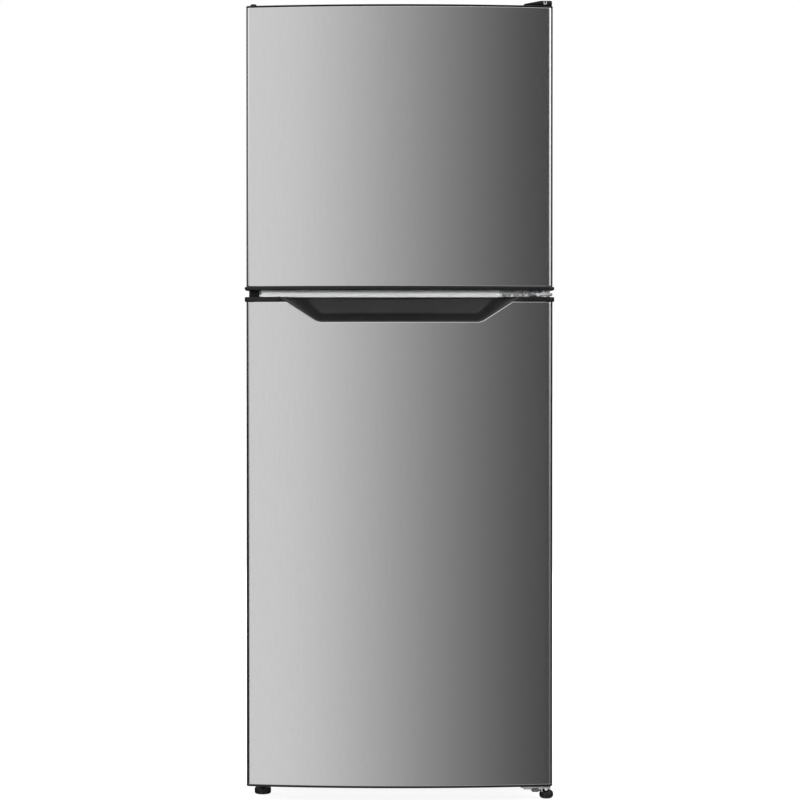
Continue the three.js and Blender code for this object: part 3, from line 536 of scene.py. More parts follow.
BEND_SLOPE = math.atan(2 * CROWN / HALF * 0.97)
BEND = HALF - DOOR_CORNER * (1 - math.sin(BEND_SLOPE))


def door_outline(columns, grow=0.0, corner_steps=8):
    """Points (x, y, normal x, normal y) round a door's front from its left back to its right back."""
    centre_x = HALF - DOOR_CORNER
    centre_y = crown_y(BEND) + DOOR_CORNER * math.cos(BEND_SLOPE)
    half_corner = [(HALF, DOOR_BACK, 1.0, 0.0), (HALF, centre_y + 12, 1.0, 0.0)]
    for step in range(corner_steps, 0, -1):
        angle = BEND_SLOPE + (math.pi / 2 - BEND_SLOPE) * step / corner_steps
        nx, ny = math.sin(angle), -math.cos(angle)
        half_corner.append((centre_x + DOOR_CORNER * nx, centre_y + DOOR_CORNER * ny, nx, ny))
    points = [(-x, y, -nx, ny) for x, y, nx, ny in half_corner]
    edge = half_corner[-1][0] - DOOR_CORNER * 0.12
    for x in [value for value in columns if abs(value) < edge]:
        slope = 2 * CROWN * x / HALF ** 2
        length = math.hypot(1, slope)
        points.append((x, crown_y(x), slope / length, -1 / length))
    points += list(reversed(half_corner))
    return [(x + nx * grow, y + ny * grow, nx, ny) for x, y, nx, ny in points]


# The finger pocket: its outline on the crowned front and the smaller one on its back wall.
POCKET_RIM = FRIDGE_SKIN_HIGH.z
POCKET_FRONT = {"top": 202.0, "bottom": 146.0, "low": 857.2, "high": POCKET_RIM, "corner": 9.0}
POCKET_BACK = {"top": 168.0, "bottom": 140.0, "low": 871.5, "high": 901.0, "corner": 6.0}
POCKET_DEPTH = 35.0


def pocket_outline(shape, top, grow=0.0):
    """Half outline from the top edge down to the middle of the floor, as (x, z) points."""
    slope = (shape["top"] - shape["bottom"]) / (shape["high"] - shape["low"])
    side = grow * math.hypot(1, slope)
    low = shape["low"] - grow

    def half_at(z):
        return shape["bottom"] + slope * (z - shape["low"]) + side

    corner = shape["corner"]
    start = low + corner * 0.55
    points = []
    for step in range(7):
        z = top + (start - top) * step / 6
        points.append((half_at(z), z))
    ahead = half_at(low) - corner * 0.85
    for step in range(1, 7):
        share = step / 6
        x = half_at(start) * (1 - share) ** 2 + 2 * half_at(low) * share * (1 - share) + ahead * share ** 2
        z = start * (1 - share) ** 2 + low * (2 * share * (1 - share) + share ** 2)
        points.append((x, z))
    for step in range(1, 13):
        points.append((ahead * (1 - step / 12), low))
    return points


def steel_columns():
    """Places across a plain steel front."""
    return [-HALF + 2 * HALF * step / 72 for step in range(1, 72)]


def steel_sheet(outline, rim, low, tops, node):
    """A steel door front: columns of points up the outline with rolled lower and upper edges.

    tops gives, for each outline point, the (x, z) where the sheet ends at the top and the
    direction in the sheet's own plane that its rim rolls from.
    """
    roll = 1.6
    heights = [0.001, 0.003] + [step / 10 for step in range(1, 10)] + [0.997, 0.999, 1.0]
    rings = []
    for (x, y, nx, ny), (top_x, top_z, in_x, in_z) in zip(outline, tops):
        on_front = abs(x) < BEND - DOOR_CORNER
        column = []
        for sine, cosine in reversed(quadrant(4)):
            depth = roll * (1 - cosine)
            column.append((x - nx * depth, y - ny * depth, low + roll * (1 - sine)))
        start_x = top_x + in_x * roll
        start_z = top_z + in_z * roll
        for share in heights:
            here = x + (start_x - x) * share ** 3 if on_front else x
            column.append((here, crown_y(here) if on_front else y,
                           low + roll + (start_z - low - roll) * share))
        for sine, cosine in quadrant(4)[1:]:
            depth = roll * (1 - cosine)
            left = roll * (1 - sine)
            here = top_x + in_x * left if on_front else x
            across = crown_y(here) if on_front else y
            column.append((here - nx * depth, across - ny * depth, top_z + in_z * left))
        last = column[-1]
        column.append((last[0] - nx * rim, last[1] - ny * rim, last[2]))
        rings.append(column)
    part = loft(rings, cap_first=False, cap_last=False, ring_closed=False)
    body = node.removesuffix("_skin")
    thicken(build(body + "_steel", [part], STAINLESS, node, body=body, angle=40), 0.7)


def freezer_door_steel():
    """The upper steel front, with a level top edge."""
    outline = door_outline(steel_columns())
    tops = [(x, SKIN_HIGH.z, 0.0, -1.0) for x, _, _, _ in outline]
    steel_sheet(outline, 2.0, SKIN_LOW.z, tops, "freezer_door_skin")


def fridge_door_steel():
    """The lower steel front; its top edge dips round the finger pocket."""
    pocket = pocket_outline(POCKET_FRONT, POCKET_RIM)
    left_plain = [x for x in steel_columns() if x < -pocket[0][0] - 2.5]
    left_plain.append(-pocket[0][0] - 1.2)
    edge = [(-x, z) for x, z in pocket] + list(reversed(pocket[:-1]))
    outline = door_outline(left_plain + [x for x, _ in edge] + [-x for x in reversed(left_plain)])
    inward = {}
    for index, (x, z) in enumerate(edge):
        before = edge[max(index - 1, 0)]
        after = edge[min(index + 1, len(edge) - 1)]
        along = Vector((after[0] - before[0], after[1] - before[1])).normalized()
        inward[round(x, 4)] = (x, z, along.y, -along.x)
    tops = [inward.get(round(x, 4), (x, POCKET_RIM, 0.0, -1.0)) for x, _, _, _ in outline]
    steel_sheet(outline, 3.0, FRIDGE_SKIN_LOW.z, tops, "fridge_door_skin")


# From this place outwards a cap swells past the steel, over a short blend.
SWELL_START = 262.0
SWELL_BLEND = 3.0
CAP_PROUD = 0.15
CAP_GAP = 0.1


def cap_outline(overhang, grow=0.0):
    """A door cap seen from above; its ends swell past the steel by overhang."""
    points = []
    for x, y, nx, ny in door_outline(steel_columns(), grow):
        share = min(1.0, max(0.0, (abs(x) - SWELL_START) / SWELL_BLEND))
        swell = overhang * share * share * (3 - 2 * share)
        points.append((x + nx * swell, y + ny * swell * 0.5))
    return points


def plain_cap(node, overhang, radius, low=None, high=None):
    """A door's end cap without a notch; low or high is its edge on the steel's side."""
    body = node.split("_door")[0] + "_door"
    lowest, highest = corners(node)
    part = slab(cap_outline(overhang, CAP_PROUD), low or lowest.z, high or highest.z, radius, 4)
    build(node + "_moulding", [part], BLACK, node, body=body, angle=50)


def pocket_cap():
    """The lower door's top cap, with the notch that the finger pocket opens into."""
    front = pocket_outline(POCKET_FRONT, CAP_TOP, 0.4)[0][0]
    back = pocket_outline(POCKET_BACK, CAP_TOP, 0.4)[0][0] + 2
    wall = DOOR_FRONT + POCKET_DEPTH + 2.5
    full = cap_outline(3.0, CAP_PROUD)
    shoulder = crown_y(front) - CAP_PROUD
    notch = [(-front, shoulder), (-back, wall), (back, wall), (front, shoulder)]
    outline = [point for point in full if point[0] < -front] + notch
    outline += [point for point in full if point[0] > front]
    build("fridge_door_top_cap_moulding", [slab(outline, POCKET_RIM + CAP_GAP, CAP_TOP, 1.6, 4)], BLACK,
          "fridge_door_top_cap", body="fridge_door", angle=50)


def mirrored(half):
    """A whole outline from its right half, which is given from the edge to the middle."""
    return [(-point[0], *point[1:]) for point in half] + list(reversed(half[:-1]))


def finger_pocket():
    """The moulded recess: a lip behind the steel's rim, four sloping sides and a back wall."""
    fillet = 5.0
    clear = -0.9

    def ring_at(share, grow, pushed=0.0):
        half = []
        grown_front = pocket_outline(POCKET_FRONT, CAP_TOP, grow)
        grown_back = pocket_outline(POCKET_BACK, CAP_TOP, grow)
        for (fx, fz), (bx, bz) in zip(grown_front, grown_back):
            start = crown_y(fx)
            y = start + (DOOR_FRONT + POCKET_DEPTH - start) * share + pushed
            half.append((fx + (bx - fx) * share, y, min(CAP_TOP, fz + (bz - fz) * share)))
        return mirrored(half)

    lip = ((3.0, 3.2), (0.6, 2.6), (-0.3, 1.3), (clear, 1.5))
    rings = [ring_at(0.0, grow, pushed) for grow, pushed in lip]
    rings += [ring_at(share, clear) for share in (0.12, 0.3, 0.5, 0.7)]
    reach = 1 - fillet / POCKET_DEPTH
    for sine, cosine in quadrant(6):
        rings.append(ring_at(reach + (1 - reach) * sine, clear - fillet * (1 - cosine)))
    part = loft(rings, cap_first=False, cap_last=True, ring_closed=False)
    thicken(build("finger_pocket_moulding", [part], POCKET_BLACK, "handle_pocket",
                  body="fridge_door", angle=40), 1.8)
    # A thin dark rubber tube tucked behind the steel along the pocket's rim: a painted shadow line where the
    # gap between the pocket and the steel lies in shade.
    pocket_shadow_line = mirrored([(x, crown_y(x) + 1.7, z) for x, z in pocket_outline(POCKET_FRONT, POCKET_RIM - 2, -0.1)])
    build("finger_pocket_shadow_line", [tube(pocket_shadow_line, 1.1, 8)], RUBBER, body="fridge_door", angle=60)


def door_inner_panel(door, node, dyke_low, dyke_high):
    """The white inner panel with its raised ring, as one skin with soft corners."""
    low, high = corners(node)
    half = 212.0
    wall = 14.0
    foot = 6.0
    nose = 5.0
    rings = []

    def panel_ring(y, inset, radius):
        side = half - inset
        rings.append(upright_ring(y, (-side, dyke_low + inset), (side, dyke_high - inset), radius))

    for y, inset in ((low.y, 0.0), (DOOR_BACK - 0.7, 0.0), (DOOR_BACK, 0.7)):
        rings.append(upright_ring(y, (-(high.x - inset), low.z + inset), (high.x - inset, high.z - inset), 3))
    panel_ring(DOOR_BACK, -foot, 22)
    for sine, cosine in quadrant(4):
        grow = foot * (1 - sine)
        panel_ring(DOOR_BACK + foot * (1 - cosine), -grow, 16 + grow)
    for sine, cosine in quadrant(4):
        inset = 1.0 + nose * (1 - cosine)
        panel_ring(high.y - nose + nose * sine, inset, 16 - inset)
    for sine, cosine in quadrant(4):
        panel_ring(high.y - nose + nose * cosine, wall - 1.0 - nose * (1 - sine), 9)
    for sine, cosine in quadrant(4):
        panel_ring(DOOR_BACK + nose - nose * sine, wall + nose * (1 - cosine), 8)
    build(node + "_formed", [loft(rings, cap_first=False)], LINER, node, body=door, angle=35)


def gasket(door, node):
    """The magnetic seal: a soft bellows section carried round the door."""
    low, high = corners(node)
    front, back = low.y, high.y
    section = [
        (0.6, front), (0.2, front + 1.2), (1.6, front + 2.2), (0.5, front + 3.6), (0.2, back - 2.4),
        (0.8, back - 0.6), (2.6, back), (6.5, back - 0.35), (10.8, back), (12.6, back - 0.5),
        (13.6, back - 2.2), (13.3, front + 3.8), (11.6, front + 2.9), (9.8, front + 2.6), (9.6, front + 1.6),
        (13.2, front + 1.2), (13.6, front),
    ]
    rings = [upright_ring(y, (low.x + inset, low.z + inset), (high.x - inset, high.z - inset),
                          max(1.0, 8 - inset * 0.3), 5) for inset, y in section]
    build(node + "_moulding", [loft(rings, loop=True)], GASKET, node, body=door, angle=50)


def tub(low, high, radius, wall=2.4, lip=3.0, taper=3.0, foot=6.0, steps=6):
    """An open-topped moulded tub: rounded foot, walls that widen upwards and a rolled lip."""
    levels = [(foot + taper + 6, low[2] + 0.6), (foot + taper + 5, low[2])]
    levels += [(taper + inset, low[2] + up) for inset, up in quarter(foot, 4)]
    levels += [(inset, high[2] - down) for inset, down in (
        (lip, 6.5), (lip - 0.4, 5.8), (0.4, 5.4), (0.0, 4.8), (0.0, 1.0), (0.6, 0.2), (1.2, 0.0),
        (lip + wall - 0.8, 0.0), (lip + wall - 0.2, 0.3), (lip + wall, 1.0))]
    levels += [(taper + wall + inset, low[2] + wall + up) for inset, up in reversed(quarter(foot - 1.5, 4))]
    rings = []
    for inset, z in levels:
        outline = rounded_rectangle((low[0] + inset, low[1] + inset), (high[0] - inset, high[1] - inset),
                                    radius - inset * 0.6, steps)
        rings.append([(x, y, z) for x, y in outline])
    return loft(rings)


def door_bin(door, node, ribs):
    """A clear bin with raised ribs across its face and hooks at both ends."""
    low, high = corners(node)
    parts = [tub(low, high, 16)]
    face = high.y - 0.4
    for row in range(ribs):
        z = low.z + 20 + row * 9
        parts.append(block((low.x + 34, face - 2.6, z), (high.x - 34, face + 0.3, z + 3), 0.9))
    build(node + "_moulding", parts, CLEAR, node, body=door, angle=40)
    hooks = []
    for side in (-1, 1):
        x = side * (high.x + 0.5)
        hooks.append(block((x - 1.6, low.y + 14, high.z - 26), (x + 1.6, low.y + 34, high.z - 8), 1.2))
        hooks.append(block((x - 1.6, low.y + 14, low.z + 10), (x + 1.6, low.y + 34, low.z + 20), 1.2))
    build(node + "_hooks", hooks, WHITE, body=door, angle=40)


def doors():
    """Both doors, outside and inside, with their seals and bins."""
    freezer_door_steel()
    fridge_door_steel()
    plain_cap("freezer_door_top_cap", 0.0, 1.2, low=SKIN_HIGH.z + CAP_GAP)
    plain_cap("freezer_door_bottom_cap", 3.0, 2.4, high=SKIN_LOW.z - CAP_GAP)
    plain_cap("fridge_door_bottom_cap", 0.0, 0.8, high=FRIDGE_SKIN_LOW.z - CAP_GAP)
    pocket_cap()
    finger_pocket()
    door_inner_panel("freezer_door", "freezer_door_liner", 957, 1360)
    door_inner_panel("fridge_door", "fridge_door_liner", 112, 858)
    for door in ("freezer_door", "fridge_door"):
        gasket(door, door + "_gasket")
    for door, place, ribs in (
        ("freezer_door", "upper", 3), ("freezer_door", "lower", 3),
        ("fridge_door", "upper", 3), ("fridge_door", "middle", 3), ("fridge_door", "bottle", 6),
    ):
        door_bin(door, door + "_" + place + "_bin", ribs)


# ---------------------------------------------------------------- cabinet
def panels():
    """The painted side and top sheets, the base tray, and plugs in the top's unused hinge holes."""
    for node in ("left_side_panel", "right_side_panel", "top_panel"):
        refine(node, PAINT, 0.9, 3)
    refine("base_tray", GALVANISED, 0.4)
    top = corners("top_panel")[1].z
    profile = [(0, top - 1), (5, top - 1), (5, top + 0.7), (4.2, top + 1.3), (0, top + 1.3)]
    plugs = [lathe(profile, (x, y), "z", 28) for x in (-250, -236) for y in (-185, -160)]
    build("top_panel_hole_plugs", plugs, BLACK)


REAR_BEADS = (-170, 170)


def rear_panel():
    """The back sheet, pressed with a raised field and two beads, with screws round its edge."""
    low, high = corners("rear_panel")
    columns = 72
    rows = 96
    field = 46

    def raised(x, z):
        inside = min(x - low.x, high.x - x, z - low.z, high.z - z)
        height = 2.2 * min(1.0, max(0.0, (inside - field) / 7))
        for bead in REAR_BEADS:
            if inside > field + 20:
                height -= 2.0 * max(0.0, 1 - abs(x - bead) / 8)
        return height

    rings = [[(x, high.y - 0.1 + raised(x, z), z) for x in spaced(low.x, high.x, columns + 1)]
             for z in spaced(low.z, high.z, rows + 1)]
    vertices, faces = loft(rings, cap_first=False, cap_last=False, ring_closed=False)
    faces = [(first, high_first, high_next, after) for first, after, high_next, high_first in faces]
    thicken(build("rear_panel_pressed", [(vertices, faces)], GALVANISED, "rear_panel", angle=60), 0.8)
    places = [(x, z) for x in (low.x + 12, high.x - 12) for z in spaced(low.z + 20, high.z - 20, 7)]
    places += [(x, z) for x in (-160, 0, 160) for z in (low.z + 12, high.z - 12)]
    screws = [screw_head((x, high.y, z), (0, 1, 0), 3.6, 1.8) for x, z in places]
    build("rear_panel_screws", screws, SCREW)
    profile = [(0, 1), (15, 1), (15, 3.4), (13, 4.2), (8, 3.5), (0, 3.5)]
    profile = [(radius, high.y + proud) for radius, proud in profile]
    plugs = [lathe(profile, place, "y", 40) for place in ((-90, 520), (90, 520), (0, 1180))]
    build("foam_hole_plugs", plugs, WHITE)


def compartment(node, half, back, floors, ceiling):
    """A vacuum-formed compartment seen from inside; floors gives the floor's height by depth."""
    low, high = corners(node)
    front = low.y
    start = floors[0][1]
    corner = 14.0
    rings = []

    def ring(y, x, floor, top, radius):
        rings.append(upright_ring(y, (-x, floor), (x, top), radius))

    ring(front + 1.5, high.x, low.z, high.z, 3)
    ring(front, high.x - 0.6, low.z + 0.6, high.z - 0.6, 3)
    ring(front, half + 4, start - 4, ceiling + 4, corner + 4)
    for inset, up in quarter(4, 4):
        ring(front + up, half + inset, start - inset, ceiling + inset, corner + inset)
    for y, floor in floors:
        ring(y, half, floor, ceiling, corner)
    floor = floors[-1][1]
    for inset, up in quarter(12, 6):
        ring(back - inset, half - up, floor + up, ceiling - up, corner)
    ring(back, half - 60, floor + 60, ceiling - 60, 8)
    piece = build(node + "_formed", [loft(rings, cap_first=False)], LINER, node, angle=40)
    face_inwards(piece)
    thicken(piece, 1.6)


def face_inwards(piece):
    """Turns an open shell's faces round if its back wall doesn't face forwards."""
    shape = bmesh.new()
    shape.from_mesh(piece.data)
    deepest = max(shape.faces, key=lambda face: face.calc_center_median().y)
    if deepest.normal.y > 0:
        bmesh.ops.reverse_faces(shape, faces=shape.faces)
    shape.to_mesh(piece.data)
    shape.free()


FREEZER_INSIDE = {"half": 226, "floor": 945, "ceiling": 1372, "back": 208}
FRIDGE_INSIDE = {"half": 230.5, "floor": 100, "ceiling": 870, "back": 218}
STEP_FRONT = 58
STEP_TOP = 325
SHELF_FRONT = -95
SHELF_BACK = 186


def step_floors(front, back):
    """The fridge floor by depth: flat, a rounded foot, a wall, a rounded nose, then the raised floor."""
    floor = FRIDGE_INSIDE["floor"]
    foot = 12
    nose = 10
    wall = STEP_FRONT + 0.4
    floors = [(front + 5, floor)]
    floors += [(STEP_FRONT - foot + foot * sine, floor + foot * (1 - cosine)) for sine, cosine in quadrant(6)]
    floors += [(wall + nose * (1 - cosine), STEP_TOP - nose + nose * sine) for sine, cosine in quadrant(6)]
    return floors + [(back - 13, STEP_TOP)]


def liners():
    """Both compartments and the ledges that carry their shelves."""
    front = corners("freezer_liner")[0].y
    inside = FREEZER_INSIDE
    floors = [(front + 5, inside["floor"]), (inside["back"] - 13, inside["floor"])]
    compartment("freezer_liner", inside["half"], inside["back"], floors, inside["ceiling"])
    inside = FRIDGE_INSIDE
    floors = step_floors(corners("fridge_liner")[0].y, inside["back"])
    compartment("fridge_liner", inside["half"], inside["back"], floors, inside["ceiling"])
    ledges = []
    front = SHELF_FRONT + 4
    for top, inside, back in ((640, FRIDGE_INSIDE, SHELF_BACK), (470, FRIDGE_INSIDE, SHELF_BACK),
                              (STEP_TOP, FRIDGE_INSIDE, SHELF_BACK), (1150, FREEZER_INSIDE, 140)):
        for side in (-1, 1):
            left, right = sorted((side * (inside["half"] + 0.5), side * (inside["half"] - 8)))
            ledges.append(block((left, front, top - 6), (right, back - 36, top - 0.2), 1.6, 3))
            if top != STEP_TOP:
                ledges.append(block((left, front, top + 12), (right, back - 66, top + 16), 1.4, 3))
    build("shelf_ledges", ledges, LINER)


def mullion():
    """The pale strip between the compartments, with a ridge along its middle."""
    low, high = corners("mullion_trim")
    left = corners("hinge_hole_cover")[1].x + 0.5
    right = corners("middle_hinge_bracket")[0].x - 0.5
    ridge_low = 904.4
    ridge_high = 907.4
    parts = [
        block((low.x, low.y, low.z - 0.6), (high.x, high.y, high.z + 0.6), 0.5),
        block((left, low.y - 0.8, ridge_low), (right, low.y + 0.6, ridge_high), 0.7),
    ]
    build("mullion_trim_strip", parts, SILVER, "mullion_trim")


# ---------------------------------------------------------------- hinges
def top_hinge():
    """The top bracket and its cover: a wedge that slopes down to the left, with a clip in its front."""
    refine("top_hinge_bracket", ZINC, 0.5)
    low, high = corners("top_hinge_cover")
    ridge = 252.0
    foot = corners("top_panel")[1].z + 0.3
    step = CABINET_FRONT - 2
    levels = [(low.y, 5.6, 1.2), (low.y + 0.8, 5.0, 0.4), (low.y + 2.4, 4.6, 0.0), (step - 0.2, 0.0, 0.0),
              (step + 0.2, 0.0, 0.0), (high.y - 3, 0.0, 0.0), (high.y - 0.9, 0.5, 0.3), (high.y, 1.6, 1.2)]
    rings = []
    for y, drop, inset in levels:
        top = high.z - drop
        bottom = (DOOR_TOP + 1.7 if y < step else foot) + inset
        left = low.x + inset
        right = high.x - inset
        outline = [(right, bottom), (right, top - 2.4), (right - 0.7, top - 0.7), (right - 2.4, top),
                   (ridge + 1, top), (ridge - 1.5, top - 0.4), (left + 3, DOOR_TOP + 4.2),
                   (left + 0.8, DOOR_TOP + 3.4), (left, bottom + 0.6), (left + 0.4, bottom)]
        rings.append([(x, y, z) for x, z in outline])
    build("top_hinge_cover_moulding", [loft(rings)], BLACK, "top_hinge_cover", angle=40)
    front = low.y - 0.6
    back = low.y + 0.9
    x = 260.5
    clip = [block((x + leg - 0.6, front, DOOR_TOP + 3.4), (x + leg + 0.6, back, DOOR_TOP + 8.2), 0.4)
            for leg in (-2.2, 2.2)]
    clip.append(block((x - 2.6, front, DOOR_TOP + 2.6), (x + 2.6, back, DOOR_TOP + 4.1), 0.4))
    build("top_hinge_cover_clip", clip, SCREW)


def teeth(start, end, z_low, z_high, y, depth, pitch):
    """A strip pressed into slanting teeth, seen from the front as a bright zigzag."""
    rings = []
    count = int((end - start) / pitch) * 2
    for step in range(count + 1):
        x = start + (end - start) * step / count
        out = depth if step % 2 else 0.3
        tilt = 1.2 if step % 4 < 2 else -1.2
        rings.append([(x, y, z_low), (x + tilt, y - out, z_low + 0.6),
                      (x - tilt, y - out * 0.6, z_high - 0.6), (x, y, z_high)])
    return loft(rings)


def middle_hinge():
    """The bracket between the doors: toothed strips, nuts on the pin, an arm's block and screws."""
    refine("middle_hinge_bracket", ZINC, 0.4)
    face = CABINET_FRONT - 2.8
    strips = [
        teeth(186, 201, 903, 909.4, face + 0.2, 2.6, 5),
        teeth(206, 226, 902.5, 910, face + 0.2, 4.5, 6.5),
    ]
    build("middle_hinge_teeth", strips, SCREW, angle=20)
    arm_top = 909.0
    hardware = [
        hex_nut((*PIVOT, arm_top - 0.2), (0, 0, 1), 12, 2.6, PIN_RADIUS),
        hex_nut((*PIVOT, arm_top - 3.8), (0, 0, -1), 12, 2.4, PIN_RADIUS),
        block((236, -232, 906.5), (243, -225, 911), 0.6),
        block((246, -246.5, 903.2), (252, -238, 906), 0.5),
    ]
    hardware += [screw_head((x, face, 914.2), (0, -1, 0), 3.8, 2.0) for x in (213, 228.5)]
    build("middle_hinge_hardware", hardware, SCREW, angle=35)


def bottom_hinge():
    """The bottom bracket with its lip, screws and fixings, and the door stop's grey sleeve."""
    # The bracket and its lip use the darker copy of the zinc, whose colour is painted shade.
    refine("bottom_hinge_bracket", SHADED_ZINC, 0.5)
    low = corners("bottom_hinge_bracket")[0]
    plate = 19.2
    hardware = [hex_nut((*PIVOT, plate + 3.0), (0, 0, 1), 11.5, 1.9, PIN_RADIUS)]
    screws = ((226, -150), (258, -150), (242, -172))
    hardware += [screw_head((x, y, 26.7), (0, 0, -1), 4.2, 2.2) for x, y in screws]
    hardware += [
        screw_head((263.5, low.y, plate - 0.6), (0, -1, 0), 2.9, 1.2),
        block((255.4, low.y + 0.2, plate - 6), (256.9, low.y + 8, plate + 2), 0.4),
        block((268.8, low.y + 4, plate - 3), (270.4, low.y + 12, plate + 1), 0.4),
    ]
    build("bottom_hinge_hardware", hardware, SCREW, angle=35)
    lip = [(low.x + 1.5, plate + 3.2), (254, plate + 3.2), (254, plate - 1.6), (low.x + 5.5, plate - 1.6)]
    rings = [[(x, y, z) for x, z in lip] for y in (low.y - 0.4, low.y + 3)]
    build("bottom_hinge_lip", [loft(rings)], SHADED_ZINC)
    sleeve = [
        block((237.2, -222.8, low.z - 0.5), (256.2, -201.4, plate - 0.4), 3.0, 4),
        block((237.6, low.y - 1.6, plate - 6.2), (250.4, -221, plate + 1.7), 2.2, 4),
    ]
    build("door_stop_sleeve", sleeve, SLEEVE)


def hole_covers():
    """The ribbed cover and the plug over the hinge holes that stay unused on the left."""
    low, high = corners("hinge_hole_cover")
    parts = [block(tuple(low), tuple(high), 1.6, 4)]
    for step in range(4):
        z = low.z + 4.2 + step * 4
        parts.append(block((low.x + 2.4, low.y - 0.5, z), (high.x - 2.4, low.y + 0.6, z + 1.4), 0.5))
    build("hinge_hole_cover_moulding", parts, BLACK, "hinge_hole_cover")
    low, high = corners("hinge_hole_plug")
    profile = [(0, low.z), (3.4, low.z), (3.8, low.z + 0.6), (3.8, DOOR_TOP + 0.3), (5.3, DOOR_TOP + 0.3),
               (5.5, DOOR_TOP + 0.8), (5.5, high.z - 1.4), (5.0, high.z - 0.5), (3.8, high.z), (0, high.z)]
    plug = lathe(profile, middle_of("hinge_hole_plug"))
    build("hinge_hole_plug_moulding", [plug], BLACK, "hinge_hole_plug", body="freezer_door")


# ---------------------------------------------------------------- feet and rollers
def gripped_foot(node, profile, ribs, depth, low, high):
    """A turned levelling foot whose rim is cut with finger grips between two heights."""
    middle = middle_of(node)
    vertices, faces = lathe(profile, (0, 0), "z", ribs * 6)
    placed = []
    for x, y, z in vertices:
        radius = math.hypot(x, y)
        if low < z < high and radius > 5:
            shrink = depth * max(0.0, math.cos(ribs * math.atan2(y, x))) ** 3 / radius
            x *= 1 - shrink
            y *= 1 - shrink
        placed.append((middle[0] + x, middle[1] + y, z))
    build(node + "_moulding", [(placed, faces)], BLACK, node, body=node)


def feet():
    """Two levelling feet: a wide one with its thread showing, and a narrow one under the hinge."""
    thread = []
    for step in range(15):
        thread += [(4.0, 19.6 + step * 2), (3.5, 20.6 + step * 2)]
    profile = [(0, 0), (12.2, 0), (13.4, 0.5), (14.4, 1.6), (15, 3.2), (15, 5), (15, 8), (15, 9.6),
               (14.4, 11), (13.2, 11.8), (8.2, 12.6), (7.6, 13.2), (7.4, 18.6), (6.8, 19.2), (4.4, 19.2),
               *thread, (3.5, 49.5), (3.0, 50), (0, 50)]
    gripped_foot("front_left_foot", profile, 14, 0.7, 2.5, 10.5)
    top = corners("front_right_foot")[1].z
    profile = [(0, 0), (7.2, 0), (9.2, 0.6), (11, 2), (12.2, 3.9), (12.6, 5.6), (12.6, 9), (11.9, 11),
               (10.5, 13), (8.8, 14.6), (7.1, 15.4), (7, 17), (6.6, 17.3), (4, 17.3), (4, top), (0, top)]
    gripped_foot("front_right_foot", profile, 12, 0.6, 4.5, 9.8)


def rollers():
    """The rear wheels, each with a hub, a tread and a waist, and their brackets and axle ends."""
    for node in ("rear_left_roller", "rear_right_roller"):
        low, high = corners(node)
        _, y, z = middle_of(node)
        radius = (high.z - low.z) / 2
        left, right = low.x, high.x
        profile = [(4.6, left), (6.5, left + 0.2), (7, left + 2), (10, left + 2),
                   (10.6, left + 0.4), (12, left + 0.2), (radius, left + 1.4)]
        waist = [(radius, left + 8), (radius - 0.6, left + 9), (radius - 0.6, right - 9), (radius, right - 8)]
        mirror = [(reach, left + right - x) for reach, x in reversed(profile)]
        rings = [[(x, y + reach * cosine, z + reach * sine) for cosine, sine in directions(48)]
                 for reach, x in profile + waist + mirror]
        build(node + "_wheel", [loft(rings, loop=True)], BLACK, node, body=node)
        refine(node + "_bracket", GALVANISED, 0.5)
        bracket_low, bracket_high = corners(node + "_bracket")
        ends = ((bracket_low.x, -1), (bracket_high.x, 1))
        caps = [screw_head((x, y, z), (way, 0, 0), 4.4, 1.6) for x, way in ends]
        build(node + "_axle_ends", caps, SCREW)


# ---------------------------------------------------------------- compressor bay
COMPRESSOR_CENTRE = (-105.0, 188.0)
DRIER_PLACE = (205, 140)


def compressor():
    """The shell in two welded halves on its foot plate, with its tubes, grommets and bolts."""
    refine("compressor_plate", GALVANISED, 0.5)
    centre_x, centre_y = COMPRESSOR_CENTRE
    low, high = corners("compressor")
    base = low.z + 3
    profile = [(0, base), (0.55, base), (0.66, base + 1.5), (0.80, base + 5), (0.9, base + 13),
               (0.96, base + 24), (0.97, 107), (0.985, 108), (1.035, 108.4), (1.04, 109.2), (1.04, 111.2),
               (1.035, 112), (0.985, 112.4), (0.965, 114), (0.96, 140), (0.945, 160), (0.90, 174),
               (0.82, 184), (0.70, 190.5), (0.52, 194.4), (0.30, 195.6), (0, high.z)]
    rings = []
    for share, z in profile:
        reach = max(share, 0.001)
        rings.append([(centre_x + 76 * reach * cosine, centre_y + 62 * reach * sine, z)
                      for cosine, sine in directions(64)])
    outline = rounded_rectangle((centre_x - 92, centre_y - 66), (centre_x + 92, centre_y + 66), 14, 6)
    stub = [(centre_x + 70, centre_y - 22, 88), (centre_x + 84, centre_y - 30, 92),
            (centre_x + 86, centre_y - 31, 104)]
    parts = [loft(rings), slab(outline, low.z, low.z + 4, 0.9), tube(stub, 3.4, 14)]
    build("compressor_shell", parts, ENAMEL, "compressor", angle=35)
    stub = [(centre_x - 72, centre_y + 12, 76), (centre_x - 84, centre_y + 14, 78),
            (centre_x - 88, centre_y + 15, 88), (centre_x - 88, centre_y + 15, 124)]
    build("compressor_process_tube", [tube(smooth_path(stub, 8), 3.2, 14)], COPPER)
    floor_z = low.z - 11
    rubber = [(0, floor_z), (9.5, floor_z), (10, floor_z + 1), (9, floor_z + 4), (10, floor_z + 7),
              (9.6, floor_z + 11), (8, floor_z + 11), (8, low.z + 4.2), (7.4, low.z + 7), (5, low.z + 8),
              (0, low.z + 8)]
    stud = [(0, low.z + 7.5), (2.6, low.z + 7.5), (2.6, low.z + 14), (2.2, low.z + 14.5), (0, low.z + 14.5)]
    grommets = []
    bolts = []
    for x in (-78, 78):
        for y in (-52, 52):
            place = (centre_x + x, centre_y + y)
            grommets.append(lathe(rubber, place, "z", 28))
            bolts.append(hex_nut((*place, low.z + 7.8), (0, 0, 1), 9, 4, 2.6))
            bolts.append(lathe(stud, place, "z", 20))
    build("compressor_grommets", grommets, RUBBER)
    build("compressor_bolts", bolts, SCREW, angle=35)


